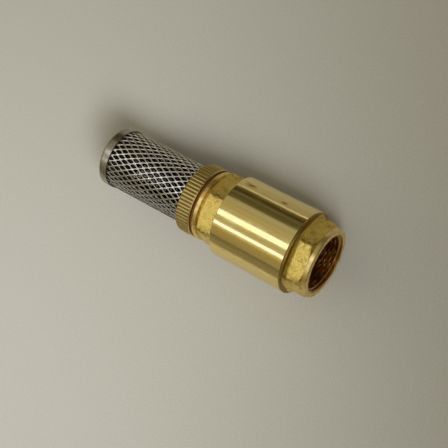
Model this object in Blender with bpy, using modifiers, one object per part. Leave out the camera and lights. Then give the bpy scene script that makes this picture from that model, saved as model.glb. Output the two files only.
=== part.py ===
"""Spring-loaded foot valve with a screwed-in strainer, lying on its barrel.

The valve's axis runs along world X, with the outlet at +X and the strainer at -X. World Z is up,
and the barrel rests on Z = 0. Every piece is made in an axis frame, whose local Z is world X, and
hangs from an empty on the valve's axis.
"""

import math

import bmesh
import bpy

MM = 0.001

# Pipe thread, 1 inch parallel: it sets every radius of the valve.
THREAD_RADIUS = 16.62 * MM
THREAD_DEPTH = 1.48 * MM
THREAD_PITCH = 2.309 * MM
THREAD_CLEARANCE = 0.3 * MM
THREAD_FLANK = 0.333
THREAD_FLAT = 0.5 - THREAD_FLANK
MOUTH_CLEARANCE = 0.1 * MM

# Lengths along the axis, from the strainer's end to the outlet.
CAP_LENGTH = 5.6 * MM
MESH_LENGTH = 52.0 * MM
COLLAR_LENGTH = 9.3 * MM
WASHER_GAP = 1.6 * MM
INLET_LENGTH = 14.4 * MM
BARREL_LENGTH = 44.3 * MM
OUTLET_LENGTH = 13.8 * MM

# Walls, steps and lands.
HEX_WALL = 2.38 * MM
HEX_TRIM = 0.45 * MM
HEX_TURN = math.radians(12.2)
RIM_STEP = 0.5 * MM
RIM_LENGTH = 2.6 * MM
LIP_STEP = 1.0 * MM
LIP_LENGTH = 2.6 * MM
LIP_GROOVE_WIDTH = 0.5 * MM
LIP_GROOVE_DEPTH = 0.4 * MM
BARREL_WALL = 3.3 * MM
BARREL_CHAMFER = 0.5 * MM
RIM_CHAMFER = 0.5 * MM
OUTLET_THREAD_RELIEF = 0.5 * MM
FLANGE_STEP = 0.4 * MM
FLANGE_LENGTH = 2.3 * MM
FLANGE_CHAMFER = 0.8 * MM
CHAMFER_SLOPE = math.tan(math.radians(30))
EDGE_CHAMFER = 0.3 * MM
SHOULDER_WALL = 2.8 * MM
SEAT_WEB = 3.1 * MM
SEAT_LIP_HEIGHT = 1.3 * MM
SEAT_LIP_WIDTH = 1.6 * MM
SEAT_SHOULDER = 1.85 * MM
SPIGOT_STEP = 0.6 * MM
SPIGOT_DEPTH = 10.0 * MM
SPIGOT_WALL = 3.6 * MM

# Gap kept between two pieces that touch, or that slide on each other.
FIT_GAP = 0.3 * MM

# How far a cutter runs past the face it opens, and a joined helper sinks into its piece.
CUT_OVERRUN = 1.6 * MM

# Guides and their snap rings.
GUIDE_INSET = 0.8 * MM
GUIDE_RING_LENGTH = 2.5 * MM
GUIDE_RING_WALL = 1.5 * MM
GUIDE_ARM_WIDTH = 2.6 * MM
GUIDE_ARMS = 3
HUB_WALL = 1.7 * MM
INLET_HUB_LENGTH = 7.8 * MM
OUTLET_HUB_TAIL = 0.5 * MM
SNAP_LIP = 0.8 * MM
SNAP_GROOVE_WIDTH = 1.4 * MM
SNAP_GROOVE_DEPTH = 0.75 * MM
SNAP_RING_LENGTH = 0.8 * MM
SNAP_RING_WIDTH = 1.9 * MM
SNAP_RING_OPENING = math.radians(24)

# Poppet, which slides towards the outlet by POPPET_LIFT.
POPPET_LIFT = 8.0 * MM
STEM_RADIUS = 2.0 * MM
STEM_LEAD = 2.5 * MM
STEM_ENGAGEMENT = 12.0 * MM
STEM_SHOULDER_RADIUS = 3.5 * MM
STEM_SHOULDER_LENGTH = 1.5 * MM
STEM_CHAMFER = 0.6 * MM
SEAL_OVERHANG = 1.4 * MM
SEAL_LENGTH = 2.0 * MM
PLATE_RIM = 0.7 * MM
PLATE_RIM_DEPTH = 1.5 * MM
PLATE_LENGTH = 3.0 * MM
PLATE_CHAMFER = 0.5 * MM
BOSS_LENGTH = 3.0 * MM
FLOW_GAP = 3.8 * MM
RETAINER_CLEARANCE = 1.0 * MM
RETAINER_LENGTH = 1.2 * MM
LOCK_WASHER_LENGTH = 0.7 * MM
LOCK_WASHER_WIDTH = 1.7 * MM
NUT_LENGTH = 1.8 * MM
NUT_WALL = 1.2 * MM

# Closing spring.
SPRING_WIRE_RADIUS = 0.6 * MM
SPRING_HUB_PLAY = 2.4 * MM
SPRING_BOSS_PLAY = 0.8 * MM
SPRING_TURNS = 7
SPRING_STEPS = 10
SPRING_END_LIFT = 0.2 * MM
SPRING_SEAT_LENGTH = 0.5 * MM
SPRING_SEAT_MARGIN = 1.0 * MM

# O-ring between the end piece and the barrel.
O_RING_RADIUS = 0.8 * MM
O_RING_OFFSET = 1.4 * MM

# Strainer.
KNURL_PROUD = 0.35 * MM
KNURL_DEPTH = 0.5 * MM
KNURL_RIDGES = 60
KNURL_MARGIN = 0.8 * MM
KNURL_SINK = 0.1 * MM
COLLAR_WALL = 2.65 * MM
COLLAR_POCKET = 6.0 * MM
COLLAR_SPIGOT_WALL = 1.65 * MM
COLLAR_SPIGOT_CLEARANCE = 0.6 * MM
WASHER_RECESS = 1.0 * MM
SLEEVE_WALL = 0.6 * MM
SLEEVE_END_BAND = 3.0 * MM
SLEEVE_CELLS_ROUND = 14
SLEEVE_CELLS_ALONG = 4
SLEEVE_STRAND = 0.8 * MM
CLAMP_RING_WALL = 1.2 * MM
CLAMP_RING_INSET = 0.6 * MM
CAP_WALL = 0.5 * MM
CAP_ROUND = 2.0 * MM

# Faceting.
SIDES = 36
MEDIUM_SIDES = 32
SMALL_SIDES = 20
THREAD_SIDES = 20
O_RING_PROFILE_SIDES = 8
CORNER_STEPS = 3
WINDOW_STEPS = 9
HUB_ARC_STEPS = 3
SNAP_RING_STEPS = 18
WELD = 0.00001

# Radii that follow from the thread.
THREAD_ROOT = THREAD_RADIUS - THREAD_DEPTH
MOUTH_RADIUS = THREAD_RADIUS + MOUTH_CLEARANCE
HEX_FLAT_RADIUS = THREAD_RADIUS + HEX_WALL
HEX_TURNED_RADIUS = HEX_FLAT_RADIUS / math.cos(math.pi / 6) - HEX_TRIM
RIM_RADIUS = HEX_FLAT_RADIUS + RIM_STEP
LIP_RADIUS = HEX_FLAT_RADIUS + LIP_STEP
INLET_POCKET_RADIUS = THREAD_ROOT - GUIDE_INSET
SEAT_RADIUS = INLET_POCKET_RADIUS - SEAT_SHOULDER
SEAL_RADIUS = SEAT_RADIUS + SEAT_LIP_WIDTH + SEAL_OVERHANG
PLATE_RADIUS = SEAL_RADIUS + FIT_GAP + PLATE_RIM
CHAMBER_RADIUS = PLATE_RADIUS + FLOW_GAP
BARREL_RADIUS = CHAMBER_RADIUS + BARREL_WALL
RECESS_RADIUS = CHAMBER_RADIUS + SPIGOT_STEP
SPIGOT_RADIUS = RECESS_RADIUS - FIT_GAP
OUTLET_POCKET_RADIUS = SPIGOT_RADIUS - SPIGOT_WALL
OUTLET_BORE_RADIUS = THREAD_ROOT - GUIDE_RING_WALL
FLANGE_RADIUS = BARREL_RADIUS - FLANGE_STEP
STEM_BORE_RADIUS = STEM_RADIUS + FIT_GAP
HUB_RADIUS = STEM_BORE_RADIUS + HUB_WALL
SPRING_RADIUS = HUB_RADIUS + SPRING_HUB_PLAY + SPRING_WIRE_RADIUS
BOSS_RADIUS = SPRING_RADIUS - SPRING_WIRE_RADIUS - SPRING_BOSS_PLAY
COLLAR_RADIUS = LIP_RADIUS + KNURL_PROUD
COLLAR_ROOT_RADIUS = COLLAR_RADIUS - KNURL_DEPTH
COLLAR_CORE_RADIUS = COLLAR_ROOT_RADIUS - KNURL_SINK
SLEEVE_POCKET_RADIUS = COLLAR_ROOT_RADIUS - COLLAR_WALL
SLEEVE_RADIUS = SLEEVE_POCKET_RADIUS - FIT_GAP
SLEEVE_FLAT_RADIUS = SLEEVE_RADIUS * math.cos(math.pi / SLEEVE_CELLS_ROUND)
CLAMP_RING_RADIUS = SLEEVE_FLAT_RADIUS - SLEEVE_WALL - FIT_GAP
COLLAR_BORE_RADIUS = THREAD_ROOT - THREAD_CLEARANCE - COLLAR_SPIGOT_WALL
CAP_RADIUS = SLEEVE_RADIUS + FIT_GAP + CAP_WALL
AXIS_HEIGHT = BARREL_RADIUS * math.cos(math.pi / SIDES)

# Stations along the axis, with 0 at the middle of the whole valve.
TOTAL_LENGTH = (
    CAP_LENGTH + MESH_LENGTH + COLLAR_LENGTH + WASHER_GAP + INLET_LENGTH + BARREL_LENGTH + OUTLET_LENGTH
)
CAP_END = -TOTAL_LENGTH / 2
CAP_RIM = CAP_END + CAP_LENGTH
COLLAR_START = CAP_RIM + MESH_LENGTH
COLLAR_END = COLLAR_START + COLLAR_LENGTH
INLET_FACE = COLLAR_END + WASHER_GAP
BARREL_START = INLET_FACE + INLET_LENGTH
BARREL_END = BARREL_START + BARREL_LENGTH
OUTLET_FACE = BARREL_END + OUTLET_LENGTH
LIP_END = INLET_FACE + LIP_LENGTH
HEX_START = LIP_END + LIP_GROOVE_WIDTH
CHAMBER_START = BARREL_START + SHOULDER_WALL
SEAT_FACE = CHAMBER_START + SEAT_LIP_HEIGHT
POCKET_LENGTH = SNAP_LIP + SNAP_GROOVE_WIDTH + GUIDE_RING_LENGTH + 2 * FIT_GAP
INLET_POCKET_END = CHAMBER_START - SEAT_WEB
INLET_THREAD_END = INLET_POCKET_END - POCKET_LENGTH
INLET_GROOVE = INLET_THREAD_END + SNAP_LIP
INLET_GUIDE_START = INLET_POCKET_END - FIT_GAP - GUIDE_RING_LENGTH
RECESS_START = BARREL_END - SPIGOT_DEPTH
SPIGOT_START = RECESS_START + FIT_GAP
FLANGE_START = BARREL_END + FIT_GAP
FLANGE_END = FLANGE_START + FLANGE_LENGTH
RIM_START = OUTLET_FACE - RIM_LENGTH
OUTLET_GROOVE = SPIGOT_START + SNAP_LIP
OUTLET_GUIDE_START = OUTLET_GROOVE + SNAP_GROOVE_WIDTH + FIT_GAP
OUTLET_POCKET_END = OUTLET_GUIDE_START + GUIDE_RING_LENGTH + FIT_GAP
OUTLET_THREAD_START = BARREL_END + OUTLET_THREAD_RELIEF
SEAL_START = SEAT_FACE + FIT_GAP
PLATE_START = SEAL_START + SEAL_LENGTH + FIT_GAP
PLATE_END = PLATE_START + PLATE_LENGTH
BOSS_END = PLATE_END + BOSS_LENGTH
STEM_SHOULDER_START = BOSS_END + FIT_GAP
STEM_SHOULDER_END = STEM_SHOULDER_START + STEM_SHOULDER_LENGTH
OUTLET_HUB_START = STEM_SHOULDER_END + POPPET_LIFT + FIT_GAP
STEM_START = INLET_GUIDE_START + GUIDE_RING_LENGTH - INLET_HUB_LENGTH - STEM_LEAD
STEM_END = OUTLET_HUB_START + STEM_ENGAGEMENT
RETAINER_END = SEAL_START - FIT_GAP
RETAINER_START = RETAINER_END - RETAINER_LENGTH
LOCK_WASHER_START = RETAINER_START - FIT_GAP - LOCK_WASHER_LENGTH
NUT_START = LOCK_WASHER_START - FIT_GAP - NUT_LENGTH
SPRING_SEAT_START = OUTLET_GUIDE_START - FIT_GAP - SPRING_SEAT_LENGTH
SPRING_START = PLATE_END + FIT_GAP
SPRING_END = SPRING_SEAT_START - FIT_GAP
COLLAR_SPIGOT_END = INLET_THREAD_END - COLLAR_SPIGOT_CLEARANCE
SLEEVE_START = CAP_END + CAP_ROUND + FIT_GAP
SLEEVE_END = COLLAR_START + COLLAR_POCKET - FIT_GAP
O_RING_STATION = FLANGE_START - O_RING_OFFSET - O_RING_RADIUS - FIT_GAP


def clear_scene():
    """Remove every object, so that the build starts from an empty scene."""
    for obj in list(bpy.data.objects):
        bpy.data.objects.remove(obj)


def make_collection(name):
    """Add a collection to the scene."""
    collection = bpy.data.collections.new(name)
    bpy.context.scene.collection.children.link(collection)
    return collection


def make_material(name, color, metallic, roughness):
    """Make a Principled BSDF material."""
    material = bpy.data.materials.new(name)
    material.use_nodes = True
    shader = material.node_tree.nodes["Principled BSDF"]
    shader.inputs["Base Color"].default_value = (*color, 1.0)
    shader.inputs["Metallic"].default_value = metallic
    shader.inputs["Roughness"].default_value = roughness
    return material


def place(obj, collection, parent, material=None):
    """Put an object in its collection, hang it from an empty and give it its material."""
    collection.objects.link(obj)
    obj.parent = parent
    if material is not None:
        obj.data.materials.append(material)
    return obj


def hide_cutter(obj):
    """Keep a helper out of the finished valve."""
    obj.hide_render = True
    obj.display_type = "WIRE"
    return obj


def turned(name, points, sides=SIDES):
    """Turn an outline of (radius, station) points about local Z.

    The outline runs down its outer side. It is closed where it leaves the axis free, and open
    where both its ends lie on the axis.
    """
    mesh = bpy.data.meshes.new(name)
    vertices = [(radius, 0.0, station) for radius, station in points]
    edges = [(i, i + 1) for i in range(len(points) - 1)]
    if points[0][0] > 0:
        edges.append((len(points) - 1, 0))
    mesh.from_pydata(vertices, edges, [])
    obj = bpy.data.objects.new(name, mesh)
    obj.rotation_euler.z = math.pi / sides
    screw = obj.modifiers.new("Turn", "SCREW")
    screw.axis = "Z"
    screw.angle = 2 * math.pi
    screw.steps = sides
    screw.render_steps = sides
    screw.use_merge_vertices = True
    screw.merge_threshold = WELD
    screw.use_smooth_shade = True
    return obj


def tube(name, outer, inner, start, end, sides=SIDES):
    """Turn a plain tube, or a rod where the inner radius is 0."""
    points = [(inner, end), (outer, end), (outer, start), (inner, start)]
    return turned(name, points, sides)


def circle_points(radius, count, turn=0.0):
    """Give the points of a regular polygon in a circle."""
    angles = [turn + 2 * math.pi * i / count for i in range(count)]
    return [(radius * math.cos(angle), radius * math.sin(angle)) for angle in angles]


def arc_points(radius, first, last, steps):
    """Give points along an arc, both its ends included."""
    angles = [first + (last - first) * i / steps for i in range(steps + 1)]
    return [(radius * math.cos(angle), radius * math.sin(angle)) for angle in angles]


def flat(name, outlines, start, end):
    """Extrude flat outlines from one station to another.

    The first outline is the outer edge, and the others are holes.
    """
    curve = bpy.data.curves.new(name, "CURVE")
    curve.dimensions = "2D"
    curve.fill_mode = "BOTH"
    curve.extrude = (end - start) / 2
    for outline in outlines:
        spline = curve.splines.new("POLY")
        spline.points.add(len(outline) - 1)
        for point, (x, y) in zip(spline.points, outline):
            point.co = (x, y, 0.0, 1.0)
        spline.use_cyclic_u = True
    obj = bpy.data.objects.new(name, curve)
    obj.location.z = (start + end) / 2
    return obj


def as_mesh(curve_object):
    """Turn a curve object into a mesh object with closed caps, in the same place."""
    bpy.context.scene.collection.objects.link(curve_object)
    bpy.context.view_layer.update()
    graph = bpy.context.evaluated_depsgraph_get()
    mesh = bpy.data.meshes.new_from_object(curve_object.evaluated_get(graph))
    shape = bmesh.new()
    shape.from_mesh(mesh)
    bmesh.ops.remove_doubles(shape, verts=shape.verts, dist=WELD)
    bmesh.ops.recalc_face_normals(shape, faces=shape.faces)
    shape.to_mesh(mesh)
    shape.free()
    name = curve_object.name
    matrix = curve_object.matrix_world.copy()
    bpy.data.objects.remove(curve_object)
    obj = bpy.data.objects.new(name, mesh)
    obj.matrix_world = matrix
    return obj


def thread_radius(station, angle, origin, crest, root):
    """Give the radius of a right-hand thread at a station and an angle."""
    turn = ((station - origin) / THREAD_PITCH - angle / (2 * math.pi)) % 1.0
    rise = min(turn, 1.0 - THREAD_FLANK) - THREAD_FLAT
    if turn > 1.0 - THREAD_FLANK:
        rise = 1.0 - turn
    height = min(max(rise / THREAD_FLANK, 0.0), 1.0)
    return root + (crest - root) * height


def threaded_rod(name, start, end, origin, crest, root):
    """Make a rod with a right-hand thread, whose turns are counted from the station called origin."""
    corners = (0.0, THREAD_FLAT, 0.5, 1.0 - THREAD_FLANK)
    first = math.floor((start - origin) / THREAD_PITCH) - 1
    last = math.ceil((end - origin) / THREAD_PITCH) + 1
    shape = bmesh.new()
    columns = []
    for i in range(THREAD_SIDES + 1):
        angle = 2 * math.pi * i / THREAD_SIDES
        column = []
        for turn in range(first, last):
            for corner in corners:
                station = origin + (turn + corner + i / THREAD_SIDES) * THREAD_PITCH
                station = min(max(station, start), end)
                radius = thread_radius(station, angle, origin, crest, root)
                point = (radius * math.cos(angle), radius * math.sin(angle), station)
                column.append(shape.verts.new(point))
        columns.append(column)
    for left, right in zip(columns, columns[1:]):
        for k in range(len(left) - 1):
            shape.faces.new((left[k], right[k], right[k + 1], left[k + 1]))
    bmesh.ops.remove_doubles(shape, verts=shape.verts, dist=WELD)
    for station in (start, end):
        rim = [edge for edge in shape.edges if edge.is_boundary and abs(edge.verts[0].co.z - station) < WELD]
        bmesh.ops.contextual_create(shape, geom=rim)
    bmesh.ops.recalc_face_normals(shape, faces=shape.faces)
    mesh = bpy.data.meshes.new(name)
    shape.to_mesh(mesh)
    shape.free()
    return bpy.data.objects.new(name, mesh)


def combine(obj, other, operation):
    """Join a helper to an object, or cut it away, with an exact Boolean."""
    boolean = obj.modifiers.new(other.name, "BOOLEAN")
    boolean.operation = operation
    boolean.solver = "EXACT"
    boolean.object = other


def hex_outline(turn=HEX_TURN, flat_radius=HEX_FLAT_RADIUS):
    """Give a hexagon's corners, with a flat's normal at the given turn."""
    return circle_points(flat_radius / math.cos(math.pi / 6), 6, turn + math.pi / 6)


def hex_ring(name, start, end):
    """Make the cutter that leaves a hexagon standing between two stations."""
    outer = circle_points(2 * BARREL_RADIUS, 6, HEX_TURN)
    return as_mesh(flat(name, [outer, hex_outline()], start, end))


def spider_outlines(outer, inner, hub):
    """Give the outlines of a guide: a ring and a hub, joined by arms, with a window between two arms."""
    outlines = [circle_points(outer, SIDES)]
    step = 2 * math.pi / GUIDE_ARMS
    outer_half = math.asin(GUIDE_ARM_WIDTH / 2 / inner)
    hub_half = math.asin(GUIDE_ARM_WIDTH / 2 / hub)
    for arm in range(GUIDE_ARMS):
        first, last = arm * step, (arm + 1) * step
        far = arc_points(inner, first + outer_half, last - outer_half, WINDOW_STEPS)
        near = arc_points(hub, last - hub_half, first + hub_half, HUB_ARC_STEPS)
        outlines.append(far + near)
    return outlines


def guide(name, outer, inner, ring_start, hub_start, hub_end):
    """Make a guide: a spider with a long hub, bored for the stem."""
    outlines = spider_outlines(outer, inner, HUB_RADIUS)
    body = as_mesh(flat(name, outlines, ring_start, ring_start + GUIDE_RING_LENGTH))
    hub = tube(name + "_hub", HUB_RADIUS, 0.0, hub_start, hub_end, SMALL_SIDES)
    bore_start = hub_start - CUT_OVERRUN
    bore_end = hub_end + CUT_OVERRUN
    bore = tube(name + "_bore", STEM_BORE_RADIUS, 0.0, bore_start, bore_end, SMALL_SIDES)
    combine(body, hub, "UNION")
    combine(body, bore, "DIFFERENCE")
    return body, [hub, bore]


def split_ring(name, outer, inner, start, end, steps):
    """Make a flat open ring."""
    first = SNAP_RING_OPENING / 2
    last = 2 * math.pi - first
    far = arc_points(outer, first, last, steps)
    near = arc_points(inner, last, first, steps)
    return as_mesh(flat(name, [far + near], start, end))


def valve_body():
    """Make the body: a cast hexagonal inlet and a turned barrel, with the seat between them."""
    groove = INLET_GROOVE
    mouth = MOUTH_RADIUS - INLET_POCKET_RADIUS
    rise = (HEX_TURNED_RADIUS - HEX_FLAT_RADIUS) * CHAMFER_SLOPE
    lip_groove = HEX_FLAT_RADIUS - LIP_GROOVE_DEPTH
    points = [
        (RECESS_RADIUS, BARREL_END),
        (BARREL_RADIUS - EDGE_CHAMFER, BARREL_END),
        (BARREL_RADIUS, BARREL_END - EDGE_CHAMFER),
        (BARREL_RADIUS, BARREL_START + BARREL_CHAMFER),
        (BARREL_RADIUS - BARREL_CHAMFER, BARREL_START),
        (HEX_TURNED_RADIUS, BARREL_START),
        (HEX_TURNED_RADIUS, HEX_START + rise),
        (HEX_FLAT_RADIUS, HEX_START),
        (lip_groove, HEX_START),
        (lip_groove, LIP_END),
        (LIP_RADIUS, LIP_END),
        (LIP_RADIUS, INLET_FACE + EDGE_CHAMFER),
        (LIP_RADIUS - EDGE_CHAMFER, INLET_FACE),
        (MOUTH_RADIUS, INLET_FACE),
        (INLET_POCKET_RADIUS, INLET_FACE + mouth),
        (INLET_POCKET_RADIUS, groove),
        (INLET_POCKET_RADIUS + SNAP_GROOVE_DEPTH, groove),
        (INLET_POCKET_RADIUS + SNAP_GROOVE_DEPTH, groove + SNAP_GROOVE_WIDTH),
        (INLET_POCKET_RADIUS, groove + SNAP_GROOVE_WIDTH),
        (INLET_POCKET_RADIUS, INLET_POCKET_END),
        (SEAT_RADIUS, INLET_POCKET_END),
        (SEAT_RADIUS, SEAT_FACE),
        (SEAT_RADIUS + SEAT_LIP_WIDTH, SEAT_FACE),
        (SEAT_RADIUS + SEAT_LIP_WIDTH, CHAMBER_START),
        (CHAMBER_RADIUS, CHAMBER_START),
        (CHAMBER_RADIUS, RECESS_START),
        (RECESS_RADIUS, RECESS_START),
    ]
    body = turned("valve_body", points)
    flats = hex_ring("inlet_flats", HEX_START, BARREL_START)
    start = INLET_FACE - CUT_OVERRUN
    thread = threaded_rod("inlet_thread", start, INLET_THREAD_END, INLET_FACE, THREAD_RADIUS, THREAD_ROOT)
    combine(body, flats, "DIFFERENCE")
    combine(body, thread, "DIFFERENCE")
    return body, [flats, thread]


def outlet_end_piece():
    """Make the end piece: a spigot in the barrel, a flange, a hexagon and the threaded outlet."""
    groove = OUTLET_GROOVE
    ring = O_RING_STATION
    ring_half = O_RING_RADIUS + FIT_GAP
    ring_floor = SPIGOT_RADIUS - 2 * O_RING_RADIUS - FIT_GAP
    mouth = MOUTH_RADIUS - OUTLET_BORE_RADIUS
    chamfer = (HEX_TURNED_RADIUS - RIM_RADIUS) * CHAMFER_SLOPE
    points = [
        (MOUTH_RADIUS, OUTLET_FACE),
        (RIM_RADIUS - RIM_CHAMFER, OUTLET_FACE),
        (RIM_RADIUS, OUTLET_FACE - RIM_CHAMFER),
        (RIM_RADIUS, RIM_START),
        (HEX_TURNED_RADIUS, RIM_START - chamfer),
        (HEX_TURNED_RADIUS, FLANGE_END),
        (FLANGE_RADIUS - FLANGE_CHAMFER, FLANGE_END),
        (FLANGE_RADIUS, FLANGE_END - FLANGE_CHAMFER),
        (FLANGE_RADIUS, FLANGE_START + EDGE_CHAMFER),
        (FLANGE_RADIUS - EDGE_CHAMFER, FLANGE_START),
        (SPIGOT_RADIUS, FLANGE_START),
        (SPIGOT_RADIUS, ring + ring_half),
        (ring_floor, ring + ring_half),
        (ring_floor, ring - ring_half),
        (SPIGOT_RADIUS, ring - ring_half),
        (SPIGOT_RADIUS, SPIGOT_START + EDGE_CHAMFER),
        (SPIGOT_RADIUS - EDGE_CHAMFER, SPIGOT_START),
        (OUTLET_POCKET_RADIUS, SPIGOT_START),
        (OUTLET_POCKET_RADIUS, groove),
        (OUTLET_POCKET_RADIUS + SNAP_GROOVE_DEPTH, groove),
        (OUTLET_POCKET_RADIUS + SNAP_GROOVE_DEPTH, groove + SNAP_GROOVE_WIDTH),
        (OUTLET_POCKET_RADIUS, groove + SNAP_GROOVE_WIDTH),
        (OUTLET_POCKET_RADIUS, OUTLET_POCKET_END),
        (OUTLET_BORE_RADIUS, OUTLET_POCKET_END),
        (OUTLET_BORE_RADIUS, OUTLET_FACE - mouth),
    ]
    piece = turned("outlet_end_piece", points)
    flats = hex_ring("outlet_flats", FLANGE_END, RIM_START)
    end = OUTLET_FACE + CUT_OVERRUN
    thread = threaded_rod("outlet_thread", OUTLET_THREAD_START, end, OUTLET_FACE, THREAD_RADIUS, THREAD_ROOT)
    combine(piece, flats, "DIFFERENCE")
    combine(piece, thread, "DIFFERENCE")
    return piece, [flats, thread]


def end_piece_o_ring():
    """Make the O-ring that seals the end piece in the barrel."""
    major = SPIGOT_RADIUS - O_RING_RADIUS
    profile = circle_points(O_RING_RADIUS, O_RING_PROFILE_SIDES)
    points = [(major + x, O_RING_STATION - y) for x, y in profile]
    return turned("end_piece_o_ring", points, MEDIUM_SIDES)


def inlet_guide():
    """Make the guide in front of the seat, whose hub runs back from the middle of its ring."""
    outer = INLET_POCKET_RADIUS - FIT_GAP
    inner = outer - GUIDE_RING_WALL
    hub_start = INLET_GUIDE_START + GUIDE_RING_LENGTH - INLET_HUB_LENGTH
    hub_end = INLET_GUIDE_START + GUIDE_RING_LENGTH / 2
    return guide("inlet_guide", outer, inner, INLET_GUIDE_START, hub_start, hub_end)


def outlet_guide():
    """Make the guide in the end piece, whose long hub stops the poppet."""
    outer = OUTLET_POCKET_RADIUS - FIT_GAP
    inner = OUTLET_BORE_RADIUS
    end = OUTLET_GUIDE_START + GUIDE_RING_LENGTH + OUTLET_HUB_TAIL
    return guide("outlet_guide", outer, inner, OUTLET_GUIDE_START, OUTLET_HUB_START, end)


def snap_ring(name, pocket_radius, groove):
    """Make the snap ring that holds a guide in its pocket."""
    outer = pocket_radius + SNAP_GROOVE_DEPTH - FIT_GAP
    start = groove + (SNAP_GROOVE_WIDTH - SNAP_RING_LENGTH) / 2
    return split_ring(name, outer, outer - SNAP_RING_WIDTH, start, start + SNAP_RING_LENGTH, SNAP_RING_STEPS)


def lock_washer():
    """Make the split washer under the nut."""
    outer = STEM_BORE_RADIUS + LOCK_WASHER_WIDTH
    end = LOCK_WASHER_START + LOCK_WASHER_LENGTH
    return split_ring("lock_washer", outer, STEM_BORE_RADIUS, LOCK_WASHER_START, end, SMALL_SIDES)


def poppet_seal():
    """Make the flat seal that closes on the seat."""
    end = SEAL_START + SEAL_LENGTH
    return tube("poppet_seal", SEAL_RADIUS, STEM_BORE_RADIUS, SEAL_START, end, MEDIUM_SIDES)


def seal_retainer():
    """Make the disc that clamps the seal to the plate, and passes through the seat."""
    outer = SEAT_RADIUS - RETAINER_CLEARANCE
    return tube("seal_retainer", outer, STEM_BORE_RADIUS, RETAINER_START, RETAINER_END, MEDIUM_SIDES)


def poppet_plate():
    """Make the poppet's plate, with a rim round its seal and a boss inside the spring."""
    rim = PLATE_START - PLATE_RIM_DEPTH
    points = [
        (STEM_BORE_RADIUS, BOSS_END),
        (BOSS_RADIUS - EDGE_CHAMFER, BOSS_END),
        (BOSS_RADIUS, BOSS_END - EDGE_CHAMFER),
        (BOSS_RADIUS, PLATE_END),
        (PLATE_RADIUS - PLATE_CHAMFER, PLATE_END),
        (PLATE_RADIUS, PLATE_END - PLATE_CHAMFER),
        (PLATE_RADIUS, rim),
        (PLATE_RADIUS - PLATE_RIM, rim),
        (PLATE_RADIUS - PLATE_RIM, PLATE_START),
        (STEM_BORE_RADIUS, PLATE_START),
    ]
    return turned("poppet_plate", points, MEDIUM_SIDES)


def poppet_stem():
    """Make the stem, with the shoulder that clamps the plate."""
    tip = STEM_RADIUS - STEM_CHAMFER
    points = [
        (0.0, STEM_END),
        (tip, STEM_END),
        (STEM_RADIUS, STEM_END - STEM_CHAMFER),
        (STEM_RADIUS, STEM_SHOULDER_END),
        (STEM_SHOULDER_RADIUS, STEM_SHOULDER_END),
        (STEM_SHOULDER_RADIUS, STEM_SHOULDER_START),
        (STEM_RADIUS, STEM_SHOULDER_START),
        (STEM_RADIUS, STEM_START + STEM_CHAMFER),
        (tip, STEM_START),
        (0.0, STEM_START),
    ]
    return turned("poppet_stem", points, SMALL_SIDES)


def poppet_nut():
    """Make the thin hexagon nut that clamps the poppet's parts."""
    flat_radius = STEM_BORE_RADIUS + NUT_WALL
    outlines = [hex_outline(0.0, flat_radius), circle_points(STEM_BORE_RADIUS, SMALL_SIDES)]
    return as_mesh(flat("poppet_nut", outlines, NUT_START, NUT_START + NUT_LENGTH))


def closing_spring():
    """Make the spring: a helix whose first and last turns are closed."""
    start = SPRING_START + SPRING_WIRE_RADIUS
    end = SPRING_END - SPRING_WIRE_RADIUS
    closed = 2 * SPRING_WIRE_RADIUS + SPRING_END_LIFT
    steps = SPRING_STEPS
    curve = bpy.data.curves.new("closing_spring", "CURVE")
    curve.dimensions = "3D"
    curve.bevel_depth = SPRING_WIRE_RADIUS
    curve.bevel_resolution = 2
    curve.use_fill_caps = True
    spline = curve.splines.new("POLY")
    spline.points.add(SPRING_TURNS * steps)
    pitch = (end - start - 2 * closed) / (SPRING_TURNS - 2)
    for i, point in enumerate(spline.points):
        turn = i / steps
        station = start + closed * min(turn, 1.0) + pitch * min(max(turn - 1.0, 0.0), SPRING_TURNS - 2.0)
        station += closed * max(turn - SPRING_TURNS + 1.0, 0.0)
        angle = 2 * math.pi * turn
        point.co = (SPRING_RADIUS * math.cos(angle), SPRING_RADIUS * math.sin(angle), station, 1.0)
    return bpy.data.objects.new("closing_spring", curve)


def spring_seat():
    """Make the washer between the spring and the outlet guide."""
    outer = SPRING_RADIUS + SPRING_WIRE_RADIUS + SPRING_SEAT_MARGIN
    end = SPRING_SEAT_START + SPRING_SEAT_LENGTH
    return tube("spring_seat", outer, HUB_RADIUS + FIT_GAP, SPRING_SEAT_START, end, MEDIUM_SIDES)


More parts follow.
